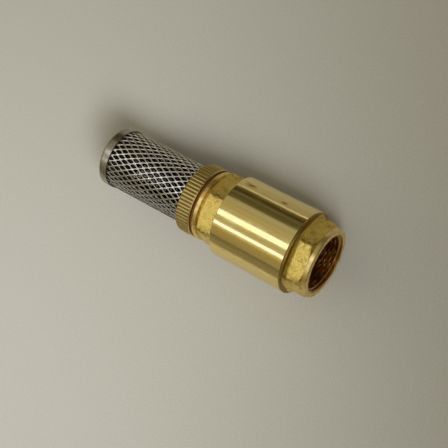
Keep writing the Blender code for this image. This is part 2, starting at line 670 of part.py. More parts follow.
def strainer_collar():
    """Make the knurled collar, with the male thread that holds the strainer in the inlet."""
    blank = [
        (0.0, COLLAR_END),
        (COLLAR_CORE_RADIUS - EDGE_CHAMFER, COLLAR_END),
        (COLLAR_CORE_RADIUS, COLLAR_END - EDGE_CHAMFER),
        (COLLAR_CORE_RADIUS, COLLAR_START + KNURL_MARGIN),
        (COLLAR_CORE_RADIUS - KNURL_MARGIN, COLLAR_START),
        (0.0, COLLAR_START),
    ]
    collar = turned("strainer_collar", blank)
    thread = threaded_rod(
        "collar_thread",
        COLLAR_END - CUT_OVERRUN,
        COLLAR_SPIGOT_END,
        INLET_FACE,
        THREAD_RADIUS - THREAD_CLEARANCE,
        THREAD_ROOT - THREAD_CLEARANCE,
    )
    outline = []
    for ridge in range(KNURL_RIDGES):
        angle = 2 * math.pi * ridge / KNURL_RIDGES
        valley = angle + math.pi / KNURL_RIDGES
        outline.append((COLLAR_RADIUS * math.cos(angle), COLLAR_RADIUS * math.sin(angle)))
        outline.append((COLLAR_ROOT_RADIUS * math.cos(valley), COLLAR_ROOT_RADIUS * math.sin(valley)))
    knurl_start = COLLAR_START + KNURL_MARGIN
    knurl = as_mesh(flat("collar_knurl", [outline], knurl_start, COLLAR_END - KNURL_MARGIN))
    pocket_end = COLLAR_START + COLLAR_POCKET
    bore_start = COLLAR_START - CUT_OVERRUN
    bore_end = COLLAR_SPIGOT_END + CUT_OVERRUN
    bore = turned(
        "collar_bore",
        [
            (0.0, bore_end),
            (COLLAR_BORE_RADIUS, bore_end),
            (COLLAR_BORE_RADIUS, pocket_end),
            (SLEEVE_POCKET_RADIUS, pocket_end),
            (SLEEVE_POCKET_RADIUS, bore_start),
            (0.0, bore_start),
        ],
    )
    combine(collar, thread, "UNION")
    combine(collar, knurl, "UNION")
    combine(collar, bore, "DIFFERENCE")
    return collar, [thread, knurl, bore]


def collar_washer():
    """Make the fibre washer between the collar and the inlet's face."""
    outer = LIP_RADIUS - WASHER_RECESS
    return tube("collar_washer", outer, MOUTH_RADIUS, COLLAR_END + FIT_GAP, INLET_FACE - FIT_GAP)


def mesh_sleeve():
    """Make the expanded-metal sleeve: diamond cells on a cylinder, between two plain end bands."""
    first = SLEEVE_START + SLEEVE_END_BAND
    rows = 2 * SLEEVE_CELLS_ALONG
    pitch = (SLEEVE_END - SLEEVE_END_BAND - first) / rows
    stations = [SLEEVE_START] + [first + pitch * row for row in range(rows + 1)] + [SLEEVE_END]
    shape = bmesh.new()
    rings = []
    for index, station in enumerate(stations):
        row = min(max(index - 1, 0), rows)
        turn = math.pi * (row % 2) / SLEEVE_CELLS_ROUND
        outline = circle_points(SLEEVE_RADIUS, SLEEVE_CELLS_ROUND, turn)
        rings.append([shape.verts.new((x, y, station)) for x, y in outline])
    diamonds = []
    for cell in range(SLEEVE_CELLS_ROUND):
        after = (cell + 1) % SLEEVE_CELLS_ROUND
        shape.faces.new((rings[0][cell], rings[0][after], rings[1][after], rings[1][cell]))
        shape.faces.new((rings[1][cell], rings[1][after], rings[2][cell]))
        shape.faces.new((rings[-2][after], rings[-2][cell], rings[-3][cell]))
        shape.faces.new((rings[-2][cell], rings[-2][after], rings[-1][after], rings[-1][cell]))
        for row in range(1, rows):
            below, middle, above = rings[row : row + 3]
            tip = after if row % 2 else cell
            diamonds.append(shape.faces.new((middle[cell], below[tip], middle[after], above[tip])))
    bmesh.ops.recalc_face_normals(shape, faces=shape.faces)
    shape.normal_update()
    bmesh.ops.inset_individual(shape, faces=diamonds, thickness=SLEEVE_STRAND / 2, use_even_offset=True)
    bmesh.ops.delete(shape, geom=diamonds, context="FACES")
    mesh = bpy.data.meshes.new("mesh_sleeve")
    shape.to_mesh(mesh)
    shape.free()
    obj = bpy.data.objects.new("mesh_sleeve", mesh)
    solidify = obj.modifiers.new("Wall", "SOLIDIFY")
    solidify.thickness = SLEEVE_WALL
    solidify.offset = -1.0
    return obj


def sleeve_clamp_ring():
    """Make the ring that spreads the sleeve's end in the collar's pocket."""
    inner = CLAMP_RING_RADIUS - CLAMP_RING_WALL
    start = COLLAR_START + CLAMP_RING_INSET
    end = SLEEVE_END - CLAMP_RING_INSET
    return tube("sleeve_clamp_ring", CLAMP_RING_RADIUS, inner, start, end, MEDIUM_SIDES)


def strainer_end_cap():
    """Make the pressed end cap, a shallow cup with a rounded corner."""
    inner = CAP_RADIUS - CAP_WALL
    corner = arc_points(CAP_ROUND, 0.0, math.pi / 2, CORNER_STEPS)
    inside = [(0.0, CAP_END + CAP_WALL), (inner - CAP_ROUND, CAP_END + CAP_WALL)]
    inside += [(inner, CAP_END + CAP_ROUND), (inner, CAP_RIM), (CAP_RADIUS, CAP_RIM)]
    outside = [(CAP_RADIUS - CAP_ROUND + x, CAP_END + CAP_ROUND - y) for x, y in corner]
    return turned("strainer_end_cap", inside + outside + [(0.0, CAP_END)])


def build():
    """Build the valve's pieces and the helpers that cut and join them."""
    clear_scene()
    pieces = make_collection("foot_valve")
    helpers = make_collection("cutters")
    axis = bpy.data.objects.new("valve_axis", None)
    axis.location = (0.0, 0.0, AXIS_HEIGHT)
    axis.rotation_euler = (0.0, math.pi / 2, 0.0)
    pieces.objects.link(axis)

    brass = make_material("cast_brass", (0.55, 0.38, 0.12), 1.0, 0.42)
    polished = make_material("turned_brass", (0.62, 0.5, 0.22), 1.0, 0.22)
    steel = make_material("stainless_steel", (0.55, 0.54, 0.5), 1.0, 0.32)
    rubber = make_material("nitrile_rubber", (0.02, 0.02, 0.02), 0.0, 0.7)
    plastic = make_material("guide_plastic", (0.8, 0.78, 0.72), 0.0, 0.45)
    fibre = make_material("red_fibre", (0.16, 0.04, 0.015), 0.0, 0.8)

    cut_pieces = [
        (valve_body(), polished),
        (outlet_end_piece(), brass),
        (inlet_guide(), plastic),
        (outlet_guide(), plastic),
        (strainer_collar(), brass),
    ]
    for (obj, cutters), material in cut_pieces:
        place(obj, pieces, axis, material)
        for cutter in cutters:
            hide_cutter(place(cutter, helpers, axis))

    plain_pieces = [
        (end_piece_o_ring(), rubber),
        (snap_ring("inlet_snap_ring", INLET_POCKET_RADIUS, INLET_GROOVE), steel),
        (snap_ring("outlet_snap_ring", OUTLET_POCKET_RADIUS, OUTLET_GROOVE), steel),
        (poppet_plate(), brass),
        (poppet_stem(), steel),
        (poppet_seal(), rubber),
        (seal_retainer(), brass),
        (lock_washer(), steel),
        (poppet_nut(), steel),
        (closing_spring(), steel),
        (spring_seat(), steel),
        (collar_washer(), fibre),
        (mesh_sleeve(), steel),
        (sleeve_clamp_ring(), steel),
        (strainer_end_cap(), steel),
    ]
    for obj, material in plain_pieces:
        place(obj, pieces, axis, material)


build()
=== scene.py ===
"""Looks of a spring-loaded foot valve with a screwed-in strainer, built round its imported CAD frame.

The valve lies on its barrel along the X axis, outlet at +X. Sizes are in millimetres unless a
name says otherwise, stations are distances along X, and an angle round the axis is 0 at +Y and
90 degrees at +Z. Each sub-assembly is a class that builds its pieces and hangs them on the
frame's bodies.
"""

import logging
import math
from collections.abc import Callable, Iterable, Mapping, Sequence
from dataclasses import dataclass, field
from enum import Enum

import bmesh
import bpy
import numpy as np
from mathutils import Matrix, Vector, noise


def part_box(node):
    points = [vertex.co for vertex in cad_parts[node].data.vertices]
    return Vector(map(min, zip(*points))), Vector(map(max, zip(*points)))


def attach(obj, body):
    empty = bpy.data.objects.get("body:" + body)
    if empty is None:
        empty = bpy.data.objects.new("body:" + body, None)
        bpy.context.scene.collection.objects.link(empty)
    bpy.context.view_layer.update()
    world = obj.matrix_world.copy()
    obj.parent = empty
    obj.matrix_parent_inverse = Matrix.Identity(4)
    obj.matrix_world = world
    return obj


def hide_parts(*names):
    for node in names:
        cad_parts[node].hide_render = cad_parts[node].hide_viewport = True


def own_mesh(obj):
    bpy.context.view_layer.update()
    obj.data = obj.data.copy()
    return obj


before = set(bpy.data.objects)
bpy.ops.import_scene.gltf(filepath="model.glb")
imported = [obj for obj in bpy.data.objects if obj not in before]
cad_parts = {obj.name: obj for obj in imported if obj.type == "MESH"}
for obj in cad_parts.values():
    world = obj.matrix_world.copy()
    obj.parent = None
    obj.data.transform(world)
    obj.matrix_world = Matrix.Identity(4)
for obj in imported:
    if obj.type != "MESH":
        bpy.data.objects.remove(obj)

LOG = logging.getLogger("foot_valve")
MM = 0.001
SHELL_LOW, SHELL_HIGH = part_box("valve_body")
AXIS_HEIGHT = (SHELL_LOW.z + SHELL_HIGH.z) / 2 / MM
HEX_NORMAL = math.radians(102.2)

Colour = tuple[float, float, float]
Feed = object


class Body(Enum):
    """The frame's bodies that a piece can ride on."""

    VALVE = "valve"
    POPPET = "poppet"
    WASHER = "washer"
    STRAINER = "strainer"


class Slot(Enum):
    """The material slots."""

    TURNED_BRASS = "turned_brass"
    CAST_BRASS = "cast_brass"
    KNURLED_BRASS = "knurled_brass"
    EXPANDED_STEEL = "expanded_steel"
    CAP_STEEL = "cap_steel"
    SPRING_STEEL = "spring_steel"
    NITRILE = "nitrile"
    GUIDE_PLASTIC = "guide_plastic"
    RED_FIBRE = "red_fibre"


class Form(Enum):
    """What a stretch of a turned outline becomes when it goes round the axis."""

    PLAIN = "plain"
    HEXAGON = "hexagon"
    THREAD = "thread"
    KNURL = "knurl"


class Coat(Enum):
    """Which finish a stretch of an outline wears."""

    SATIN = "satin"
    CAST = "cast"
    # Dark cast skin with painted shade, worn by the outlet flange's rim.
    STAINED_AND_SHADED = "stained"
    POLISHED = "polished"
    THREADED = "threaded"


# ---------------------------------------------------------------------------
# Shader nodes from Python expressions
# ---------------------------------------------------------------------------


class Value:
    """A number that varies over a surface, used in arithmetic like a Python number."""

    def __init__(self, graph: "Graph", socket: bpy.types.NodeSocket) -> None:
        """Wrap an output socket of the graph."""
        self.graph = graph
        self.socket = socket

    def math(self, operation: str, *others: Feed, swapped: bool = False) -> "Value":
        """Add a Math node.

        Args:
            operation: The Math node's operation.
            others: The operands after this value.
            swapped: Whether this value comes second.

        Returns:
            The node's result.
        """
        operands = [self, *others]
        if swapped:
            operands.reverse()
        made = self.graph.node("ShaderNodeMath", {"operation": operation}, dict(enumerate(operands)))
        return Value(self.graph, made.outputs[0])

    def __add__(self, other: Feed) -> "Value":
        """Add."""
        return self.math("ADD", other)

    __radd__ = __add__

    def __sub__(self, other: Feed) -> "Value":
        """Subtract."""
        return self.math("SUBTRACT", other)

    def __rsub__(self, other: Feed) -> "Value":
        """Subtract from a number."""
        return self.math("SUBTRACT", other, swapped=True)

    def __mul__(self, other: Feed) -> "Value":
        """Multiply."""
        return self.math("MULTIPLY", other)

    __rmul__ = __mul__

    def __truediv__(self, other: Feed) -> "Value":
        """Divide."""
        return self.math("DIVIDE", other)

    def __pow__(self, other: Feed) -> "Value":
        """Raise to a power."""
        return self.math("POWER", other)

    def step(self, low: float, high: float) -> "Value":
        """Go smoothly from 0 at the low value to 1 at the high one, which may be the smaller."""
        ends = {"Value": self, "From Min": low, "From Max": high}
        made = self.graph.node("ShaderNodeMapRange", {"interpolation_type": "SMOOTHSTEP"}, ends)
        return Value(self.graph, made.outputs[0])


@dataclass(frozen=True)
class AxisPlace:
    """Where a point of a surface is in relation to the valve's axis, in millimetres."""

    along: Value
    across: Value
    up: Value
    radius: Value


class Graph:
    """The node tree of a material or a world."""

    def __init__(self, tree: bpy.types.NodeTree) -> None:
        """Empty the tree, so that it holds only what is added."""
        self.tree = tree
        tree.nodes.clear()

    def node(
        self,
        kind: str,
        settings: Mapping[str, object] | None = None,
        feeds: Mapping[str | int, Feed] | None = None,
    ) -> bpy.types.Node:
        """Add a node.

        Args:
            kind: The node's type.
            settings: Its settings by name; "stops" gives a ramp's positions and colours.
            feeds: The value or link of each socket, by name or index.

        Returns:
            The node.
        """
        made = self.tree.nodes.new(kind)
        for name, value in (settings or {}).items():
            if name == "stops":
                self._set_stops(made.color_ramp, value)
            else:
                setattr(made, name, value)
        for name, value in (feeds or {}).items():
            self.feed(made.inputs[name], value)
        return made

    def _set_stops(self, ramp: bpy.types.ColorRamp, stops: Sequence[tuple[float, Colour]]) -> None:
        """Give a ramp its positions and colours."""
        while len(ramp.elements) < len(stops):
            ramp.elements.new(1.0)
        for element, (position, colour) in zip(ramp.elements, stops):
            element.position = position
            element.color = (*colour, 1.0)

    def feed(self, socket: bpy.types.NodeSocket, value: Feed) -> None:
        """Link a value to a socket, or set the socket to it."""
        if isinstance(value, Value):
            self.tree.links.new(value.socket, socket)
        elif isinstance(value, bpy.types.NodeSocket):
            self.tree.links.new(value, socket)
        elif isinstance(value, tuple) and len(value) == 3 and socket.type == "RGBA":
            socket.default_value = (*value, 1.0)
        else:
            socket.default_value = value

    def place(self) -> AxisPlace:
        """Give the point's place in the piece's own coordinates, measured from the valve's axis."""
        own = self.node("ShaderNodeTexCoord").outputs["Object"]
        parts = self.node("ShaderNodeSeparateXYZ", feeds={0: own}).outputs
        along = Value(self, parts[0]) / MM
        across = Value(self, parts[1]) / MM
        up = Value(self, parts[2]) / MM - AXIS_HEIGHT
        radius = (across * across + up * up) ** 0.5
        return AxisPlace(along, across, up, radius)

    def vector(self, x: Feed, y: Feed, z: Feed) -> bpy.types.NodeSocket:
        """Join three numbers into a vector."""
        return self.node("ShaderNodeCombineXYZ", feeds={0: x, 1: y, 2: z}).outputs[0]

    def noise(
        self, vector: bpy.types.NodeSocket, scale: float = 1.0, detail: float = 2.0, rough: float = 0.5
    ) -> Value:
        """Give smooth noise from 0 to 1.

        Args:
            vector: The coordinates.
            scale: How many features go into one unit.
            detail: How many finer octaves are added.
            rough: How strong the finer octaves are.

        Returns:
            The noise.
        """
        feeds = {"Vector": vector, "Scale": scale, "Detail": detail, "Roughness": rough}
        return Value(self, self.node("ShaderNodeTexNoise", feeds=feeds).outputs[0])

    def cells(self, vector: bpy.types.NodeSocket, scale: float) -> Value:
        """Give the distance to the nearest of many scattered points."""
        made = self.node("ShaderNodeTexVoronoi", feeds={"Vector": vector, "Scale": scale})
        return Value(self, made.outputs["Distance"])

    def attribute(self, name: str) -> Value:
        """Read a number stored on the mesh."""
        made = self.node("ShaderNodeAttribute", {"attribute_name": name})
        return Value(self, made.outputs["Fac"])

    def blend(self, share: Feed, first: Feed, second: Feed) -> bpy.types.NodeSocket:
        """Mix two colours; a share of 1 gives the second."""
        made = self.node("ShaderNodeMix", {"data_type": "RGBA"}, {0: share, 6: first, 7: second})
        return made.outputs[2]

    def bump(self, height: Value, depth: float, under: Feed = None) -> bpy.types.NodeSocket:
        """Turn a height from 0 to 1 into a normal.

        Args:
            height: The height.
            depth: How deep a height of 1 is.
            under: A normal that this one is laid over.

        Returns:
            The normal.
        """
        feeds = {"Height": height, "Strength": 1.0, "Distance": depth * MM}
        if under is not None:
            feeds["Normal"] = under
        return self.node("ShaderNodeBump", feeds=feeds).outputs[0]


# ---------------------------------------------------------------------------
# Finishes
# ---------------------------------------------------------------------------


@dataclass(frozen=True)
class Finish:
    """A finish that a piece can wear."""

    name: str

    def surface(self, graph: Graph) -> dict[str, Feed]:
        """Give the values and links of the surface shader's sockets."""
        raise NotImplementedError

    def material(self) -> bpy.types.Material:
        """Make the finish's material, once for all the pieces that wear it."""
        known = bpy.data.materials.get(self.name)
        if known is not None:
            return known
        made = bpy.data.materials.new(self.name)
        made.use_nodes = True
        graph = Graph(made.node_tree)
        shader = graph.node("ShaderNodeBsdfPrincipled", feeds=self.surface(graph))
        graph.node("ShaderNodeOutputMaterial", feeds={"Surface": shader.outputs[0]})
        return made


@dataclass(frozen=True)
class Scar:
    """A brown scuffed patch on the barrel, by where its middle is and how far it reaches."""

    along: float
    across: float
    up: float
    reach_along: float
    reach_across: float


@dataclass(frozen=True)
class PolishedBrass(Finish):
    """Brass turned and buffed bright: fine rings round it, faint streaks along it and a few pits."""

    pale: Colour = (0.93, 0.76, 0.33)
    warm: Colour = (0.90, 0.66, 0.24)
    pit: Colour = (0.38, 0.22, 0.06)
    rough: float = 0.10
    ring_depth: float = 0.004
    scars: tuple[Scar, ...] = (
        Scar(19.2, 19.7, 12.8, 4.4, 2.2),
        Scar(16.0, 16.5, 16.7, 1.1, 1.0),
        Scar(28.0, 19.0, 13.8, 1.6, 0.7),
        Scar(40.3, 19.3, 13.4, 2.6, 1.2),
        Scar(22.0, -17.0, 16.2, 1.2, 0.4),
    )

    def surface(self, graph: Graph) -> dict[str, Feed]:
        """Give the values and links of the surface shader's sockets."""
        at = graph.place()
        streaks = graph.noise(graph.vector(at.along * 0.012, at.across * 0.9, at.up * 0.9), 1.0, 4.0, 0.6)
        rings = graph.noise(graph.vector(at.along * 7.0, at.across * 0.02, at.up * 0.02), 1.0, 2.0)
        smudge = graph.noise(graph.vector(at.along, at.across, at.up), 0.12, 3.0)
        spots = graph.cells(graph.vector(at.along, at.across * 1.6, at.up * 1.6), 0.6).step(0.24, 0.12)
        patch = graph.noise(graph.vector(at.along * 0.35, at.across, at.up), 0.22, 2.0).step(0.58, 0.7)
        pits = (spots * patch).math("MAXIMUM", self._scuffs(graph, at))
        metal = graph.blend(streaks.step(0.38, 0.66), self.pale, self.warm)
        return {
            "Base Color": graph.blend(pits * 0.85, metal, self.pit),
            "Metallic": 1.0,
            "Roughness": self.rough + rings * 0.05 + smudge.step(0.45, 0.8) * 0.09 + pits * 0.3,
            "Normal": graph.bump(rings - pits * 1.5, self.ring_depth),
        }

    def _scuffs(self, graph: Graph, at: AxisPlace) -> Value:
        """Give how scuffed the brass is, from 0 to 1: ragged streaks inside each scar's reach."""
        ragged = graph.noise(graph.vector(at.along * 0.55, at.across * 1.3, at.up * 1.3), 1.0, 4.0, 0.65)
        scuffed = None
        for scar in self.scars:
            parts = (
                (at.along - scar.along) / scar.reach_along,
                (at.across - scar.across) / scar.reach_across,
                (at.up - scar.up) / scar.reach_across,
            )
            far = parts[0] * parts[0] + parts[1] * parts[1] + parts[2] * parts[2]
            here = (ragged * 1.3 - far * 0.45).step(0.3, 0.62)
            scuffed = here if scuffed is None else scuffed.math("MAXIMUM", here)
        return scuffed


@dataclass(frozen=True)
class SatinBrass(Finish):
    """Brass as a lathe tool leaves it: fine rings round the axis and a duller, browner tone."""

    light: Colour = (0.94, 0.70, 0.26)
    dark: Colour = (0.52, 0.33, 0.09)
    rough: float = 0.24
    ring_pitch: float = 0.16
    ring_depth: float = 0.012

    def surface(self, graph: Graph) -> dict[str, Feed]:
        """Give the values and links of the surface shader's sockets."""
        at = graph.place()
        turned = graph.vector(at.along / self.ring_pitch, at.radius / self.ring_pitch, 0.0)
        rings = graph.noise(turned, 1.0, 2.0)
        stain = graph.noise(graph.vector(at.along, at.across, at.up), 0.35, 4.0, 0.6)
        return {
            "Base Color": graph.blend(stain.step(0.4, 0.75) * 0.7, self.light, self.dark),
            "Metallic": 1.0,
            "Roughness": self.rough + rings * 0.1 + stain * 0.12,
            "Normal": graph.bump(rings, self.ring_depth),
        }


@dataclass(frozen=True)
class CastBrass(Finish):
    """Tumbled cast brass: grainy, matt and golden, with brown stains and pores, and painted shade browning the
    edges of the flats.
    """

    gold: Colour = (0.80, 0.52, 0.09)
    pale: Colour = (1.0, 0.80, 0.24)
    brown: Colour = (0.26, 0.14, 0.025)
    rough: float = 0.27
    grain_size: float = 0.62
    grain_depth: float = 0.13

    def surface(self, graph: Graph) -> dict[str, Feed]:
        """Give the values and links of the surface shader's sockets."""
        at = graph.place()
        point = graph.vector(at.along, at.across, at.up)
        grain = graph.noise(point, 1.0 / self.grain_size, 3.0, 0.6)
        lumps = graph.noise(point, 0.55, 3.0, 0.55)
        stain = graph.noise(point, 0.22, 4.0, 0.6)
        pores = graph.cells(point, 0.8).step(0.26, 0.1) * stain.step(0.42, 0.55)
        edge = graph.attribute("edge")
        gold = graph.blend(grain.step(0.38, 0.62), self.gold, self.pale)
        # Stains and pores are the brass's own; the browning near the flats' edges, from the edge attribute, is
        # painted shade.
        worn = (stain.step(0.5, 0.72) * 0.4).math("MAXIMUM", edge * lumps.step(0.35, 0.65) * 0.75)
        worn = worn.math("MAXIMUM", pores * 0.45)
        return {
            "Base Color": graph.blend(worn, gold, self.brown),
            "Metallic": 1.0,
            "Roughness": self.rough + grain * 0.2 + stain * 0.06,
            "Normal": graph.bump(lumps - pores * 0.5, 0.16, graph.bump(grain, self.grain_depth)),
        }


@dataclass(frozen=True)
class KnurledBrass(Finish):
    """Brass with pressed ridges: bright on their crests, with painted shade browning the valleys between."""

    crest: Colour = (0.56, 0.41, 0.13)
    # The valley tone is painted shade in the knurl's valleys.
    valley: Colour = (0.27, 0.18, 0.045)
    valley_radius: float = 19.95
    crest_radius: float = 20.32
    rough: float = 0.26

    def surface(self, graph: Graph) -> dict[str, Feed]:
        """Give the values and links of the surface shader's sockets."""
        at = graph.place()
        marks = graph.noise(graph.vector(at.along * 0.5, at.across * 2.4, at.up * 2.4), 1.0, 3.0)
        # Painted shade: the colour darkens from the crests down to the valleys' floors.
        high = at.radius.step(self.valley_radius, self.crest_radius)
        high = (high + (marks - 0.5) * 0.7).step(0.05, 0.9)
        return {
            "Base Color": graph.blend(high, self.valley, self.crest),
            "Metallic": 1.0,
            "Roughness": self.rough + (1.0 - high) * 0.16 + marks * 0.08,
            "Normal": graph.bump(marks, 0.03),
        }


@dataclass(frozen=True)
class StrandSteel(Finish):
    """Slit and stretched stainless sheet: bright rolled faces with dull, brownish sheared sides and tarnish,
    and painted shade on the inner face and deep in the holes.
    """

    bright: Colour = (0.90, 0.85, 0.75)
    dull: Colour = (0.26, 0.215, 0.13)
    painted_inside_shade: Colour = (0.010, 0.008, 0.005)
    rough: float = 0.19
    inside_shade_radius: float = 16.66

    def surface(self, graph: Graph) -> dict[str, Feed]:
        """Give the values and links of the surface shader's sockets."""
        at = graph.place()
        point = graph.vector(at.along, at.across, at.up)
        tarnish = graph.noise(point, 0.16, 3.0)
        scuff = graph.noise(graph.vector(at.along * 0.6, at.across * 3.0, at.up * 3.0), 1.0, 3.0)
        cut = graph.attribute("edge")
        # The cut share dulls the sheared sides, their own tone, and the inner face, where it is painted shade.
        dull = (cut * 0.75).math("MAXIMUM", tarnish.step(0.52, 0.75) * 0.45)
        outside = graph.blend(dull, self.bright, self.dull)
        # Painted shade: faces deeper than this radius, down the holes and on the inner face, are made nearly
        # black.
        inside_shade_share = at.radius.step(self.inside_shade_radius, self.inside_shade_radius - 0.12)
        return {
            "Base Color": graph.blend(inside_shade_share, outside, self.painted_inside_shade),
            "Metallic": 1.0,
            "Roughness": self.rough + scuff * 0.16 + cut * 0.16 + inside_shade_share * 0.3,
            "Normal": graph.bump(scuff, 0.025),
        }


@dataclass(frozen=True)
class BrushedSteel(Finish):
    """Pressed stainless sheet, brushed round its axis."""

    light: Colour = (0.46, 0.42, 0.33)
    dark: Colour = (0.23, 0.20, 0.145)
    rough: float = 0.20
    brush: float = 5.0

    def surface(self, graph: Graph) -> dict[str, Feed]:
        """Give the values and links of the surface shader's sockets."""
        at = graph.place()
        lines = graph.noise(graph.vector(at.along * self.brush, at.radius * self.brush, at.up * 0.03), 1.0, 3.0)
        cloud = graph.noise(graph.vector(at.along, at.across, at.up), 0.2, 3.0)
        return {
            "Base Color": graph.blend((lines * 0.4 + cloud * 0.6).step(0.35, 0.8), self.light, self.dark),
            "Metallic": 1.0,
            "Roughness": self.rough + lines * 0.14,
            "Normal": graph.bump(lines, 0.012),
        }


@dataclass(frozen=True)
class WireSteel(Finish):
    """Drawn and stamped stainless: fairly bright, with fine scratches."""

    tone: Colour = (0.58, 0.56, 0.52)
    shade: Colour = (0.38, 0.35, 0.31)
    rough: float = 0.2

    def surface(self, graph: Graph) -> dict[str, Feed]:
        """Give the values and links of the surface shader's sockets."""
        at = graph.place()
        scratch = graph.noise(graph.vector(at.along, at.across, at.up), 2.2, 4.0, 0.65)
        return {
            "Base Color": graph.blend(scratch.step(0.4, 0.8), self.tone, self.shade),
            "Metallic": 1.0,
            "Roughness": self.rough + scratch * 0.2,
            "Normal": graph.bump(scratch, 0.01),
        }


@dataclass(frozen=True)
class Fibre(Finish):
    """Vulcanised fibre, dark red-brown and swollen in places."""

    tone: Colour = (0.16, 0.045, 0.006)
    light: Colour = (0.30, 0.11, 0.012)

    def surface(self, graph: Graph) -> dict[str, Feed]:
        """Give the values and links of the surface shader's sockets."""
        at = graph.place()
        felt = graph.noise(graph.vector(at.along, at.across, at.up), 2.5, 4.0, 0.7)
        return {
            "Base Color": graph.blend(felt.step(0.45, 0.75), self.tone, self.light),
            "Roughness": 0.55 + felt * 0.3,
            "Normal": graph.bump(felt, 0.06),
        }


@dataclass(frozen=True)
class Moulded(Finish):
    """A moulded rubber or plastic, with a fine matt texture."""

    tone: Colour
    rough: float = 0.45

    def surface(self, graph: Graph) -> dict[str, Feed]:
        """Give the values and links of the surface shader's sockets."""
        at = graph.place()
        point = graph.vector(at.along, at.across, at.up)
        fine = graph.noise(point, 6.0, 2.0)
        cloud = graph.noise(point, 0.4, 2.0)
        lifted = tuple(min(1.0, part * 1.6 + 0.004) for part in self.tone)
        return {
            "Base Color": graph.blend(cloud.step(0.35, 0.8) * 0.6 + fine * 0.2, self.tone, lifted),
            "Roughness": self.rough + fine * 0.15,
            "Normal": graph.bump(fine, 0.012),
        }


@dataclass(frozen=True)
class PaleFloor(Finish):
    """A plain pale table top with an even, slightly warm tone."""

    tone: Colour = (0.57, 0.55, 0.53)
    shade: Colour = (0.53, 0.51, 0.49)

    def surface(self, graph: Graph) -> dict[str, Feed]:
        """Give the values and links of the surface shader's sockets."""
        at = graph.place()
        point = graph.vector(at.along, at.across, 0.0)
        fleck = graph.noise(point, 1.1, 2.0)
        return {
            "Base Color": graph.blend(fleck.step(0.4, 0.6), self.tone, self.shade),
            "Roughness": 0.62 + fleck * 0.1,
            "Normal": graph.bump(fleck, 0.04),
        }


# ---------------------------------------------------------------------------
# Turned shapes
# ---------------------------------------------------------------------------


@dataclass(frozen=True)
class Corner:
    """A corner of a turned outline.

    The form and the coat are those of the stretch that runs from this corner to the next.
    """

    x: float
    r: float
    soft: float = 0.0
    form: Form = Form.PLAIN
    coat: Coat = Coat.SATIN


@dataclass(frozen=True)
class Hexagon:
    """Flats round the axis, whose meeting lines are slightly soft."""

    flat: float
    normal: float = HEX_NORMAL
    blend: float = 0.32
    fillet_start: float = 0.0
    fillet_end: float = 0.0
    fillet_rise: float = 0.0

    def __call__(self, x: np.ndarray, r: np.ndarray, angle: np.ndarray) -> tuple[np.ndarray, np.ndarray]:
        """Cut the flats.

        Args:
            x: The stations.
            r: The turned radii.
            angle: The angles round the axis.

        Returns:
            The radii with the flats cut, and how near each point is to a flat's edge, from 0 to 1.
        """
        sector = math.pi / 3
        off = (angle - self.normal + sector / 2) % sector - sector / 2
        level = self.flat
        if self.fillet_rise:
            share = np.clip((self.fillet_end - x) / (self.fillet_end - self.fillet_start), 0.0, 1.0)
            level = level + self.fillet_rise * (1.0 - np.sqrt(1.0 - share**2))
        flat = level / np.cos(off)
        low = np.minimum(r, flat)
        cut = low - self.blend * np.log(np.exp((low - r) / self.blend) + np.exp((low - flat) / self.blend))
        return cut, np.exp(-(((flat - r) / 1.0) ** 2))


@dataclass(frozen=True)
class Thread:
    """A right-hand pipe thread with rounded crests and roots."""

    crest: float
    root: float
    origin: float
    inside: bool
    pitch: float = 2.309
    flank: float = 0.333
    start_angle: float = math.pi / 2

    def __call__(self, x: np.ndarray, r: np.ndarray, angle: np.ndarray) -> tuple[np.ndarray, np.ndarray]:
        """Cut the thread; arguments and results are as for the hexagon."""
        turn = ((x - self.origin) / self.pitch - (angle + self.start_angle) / (2 * math.pi)) % 1.0
        land = 0.5 - self.flank
        rise = np.where(turn > 1.0 - self.flank, 1.0 - turn, np.minimum(turn, 1.0 - self.flank) - land)
        height = np.clip(rise / self.flank, 0.0, 1.0)
        height = height * height * (3.0 - 2.0 * height)
        cut = self.root + (self.crest - self.root) * height
        cut = np.maximum(cut, r) if self.inside else np.minimum(cut, r)
        return cut, np.zeros_like(cut)


@dataclass(frozen=True)
class Knurl:
    """Straight ridges pressed round a collar."""

    ridges: int
    depth: float
    start: float
    end: float
    run_out: float = 0.7

    def __call__(self, x: np.ndarray, r: np.ndarray, angle: np.ndarray) -> tuple[np.ndarray, np.ndarray]:
        """Press the ridges; arguments and results are as for the hexagon."""
        index = np.round(angle * self.ridges / (2 * math.pi))
        uneven = 0.35 * np.sin(index * 2.3) + 0.25 * np.sin(index * 5.1 + 1.0)
        begin = self.start + 0.3 * uneven
        share = np.clip((x - begin) / self.run_out, 0, 1) * np.clip((self.end - x) / self.run_out, 0, 1)
        share = share * share * (3 - 2 * share)
        wave = 0.5 - 0.5 * np.cos(angle * self.ridges)
        valley = wave**2.2
        return r - self.depth * valley * share, valley * share


def ring_corners(
    start: float, end: float, inner: float, outer: float, inner_soft: float, outer_soft: float
) -> list[Corner]:
    """Give a plain ring's four corners.

    Args:
        start: The station of its near face.
        end: The station of its far face.
        inner: The radius of its hole.
        outer: Its outer radius.
        inner_soft: How soft the hole's two corners are.
        outer_soft: How soft the outer two are.

    Returns:
        The corners.
    """
    return [
        Corner(start, inner, inner_soft),
        Corner(start, outer, outer_soft),
        Corner(end, outer, outer_soft),
        Corner(end, inner, inner_soft),
    ]


def groove_corners(start: float, width: float, radius: float, depth: float) -> list[Corner]:
    """Give the corners of a snap ring's groove in a bore, from its far side to its near one."""
    end, floor = start + width, radius + depth
    return [Corner(x, r, 0.1) for x, r in ((end, radius), (end, floor), (start, floor), (start, radius))]


FormCut = Callable[[np.ndarray, np.ndarray, np.ndarray], tuple[np.ndarray, np.ndarray]]


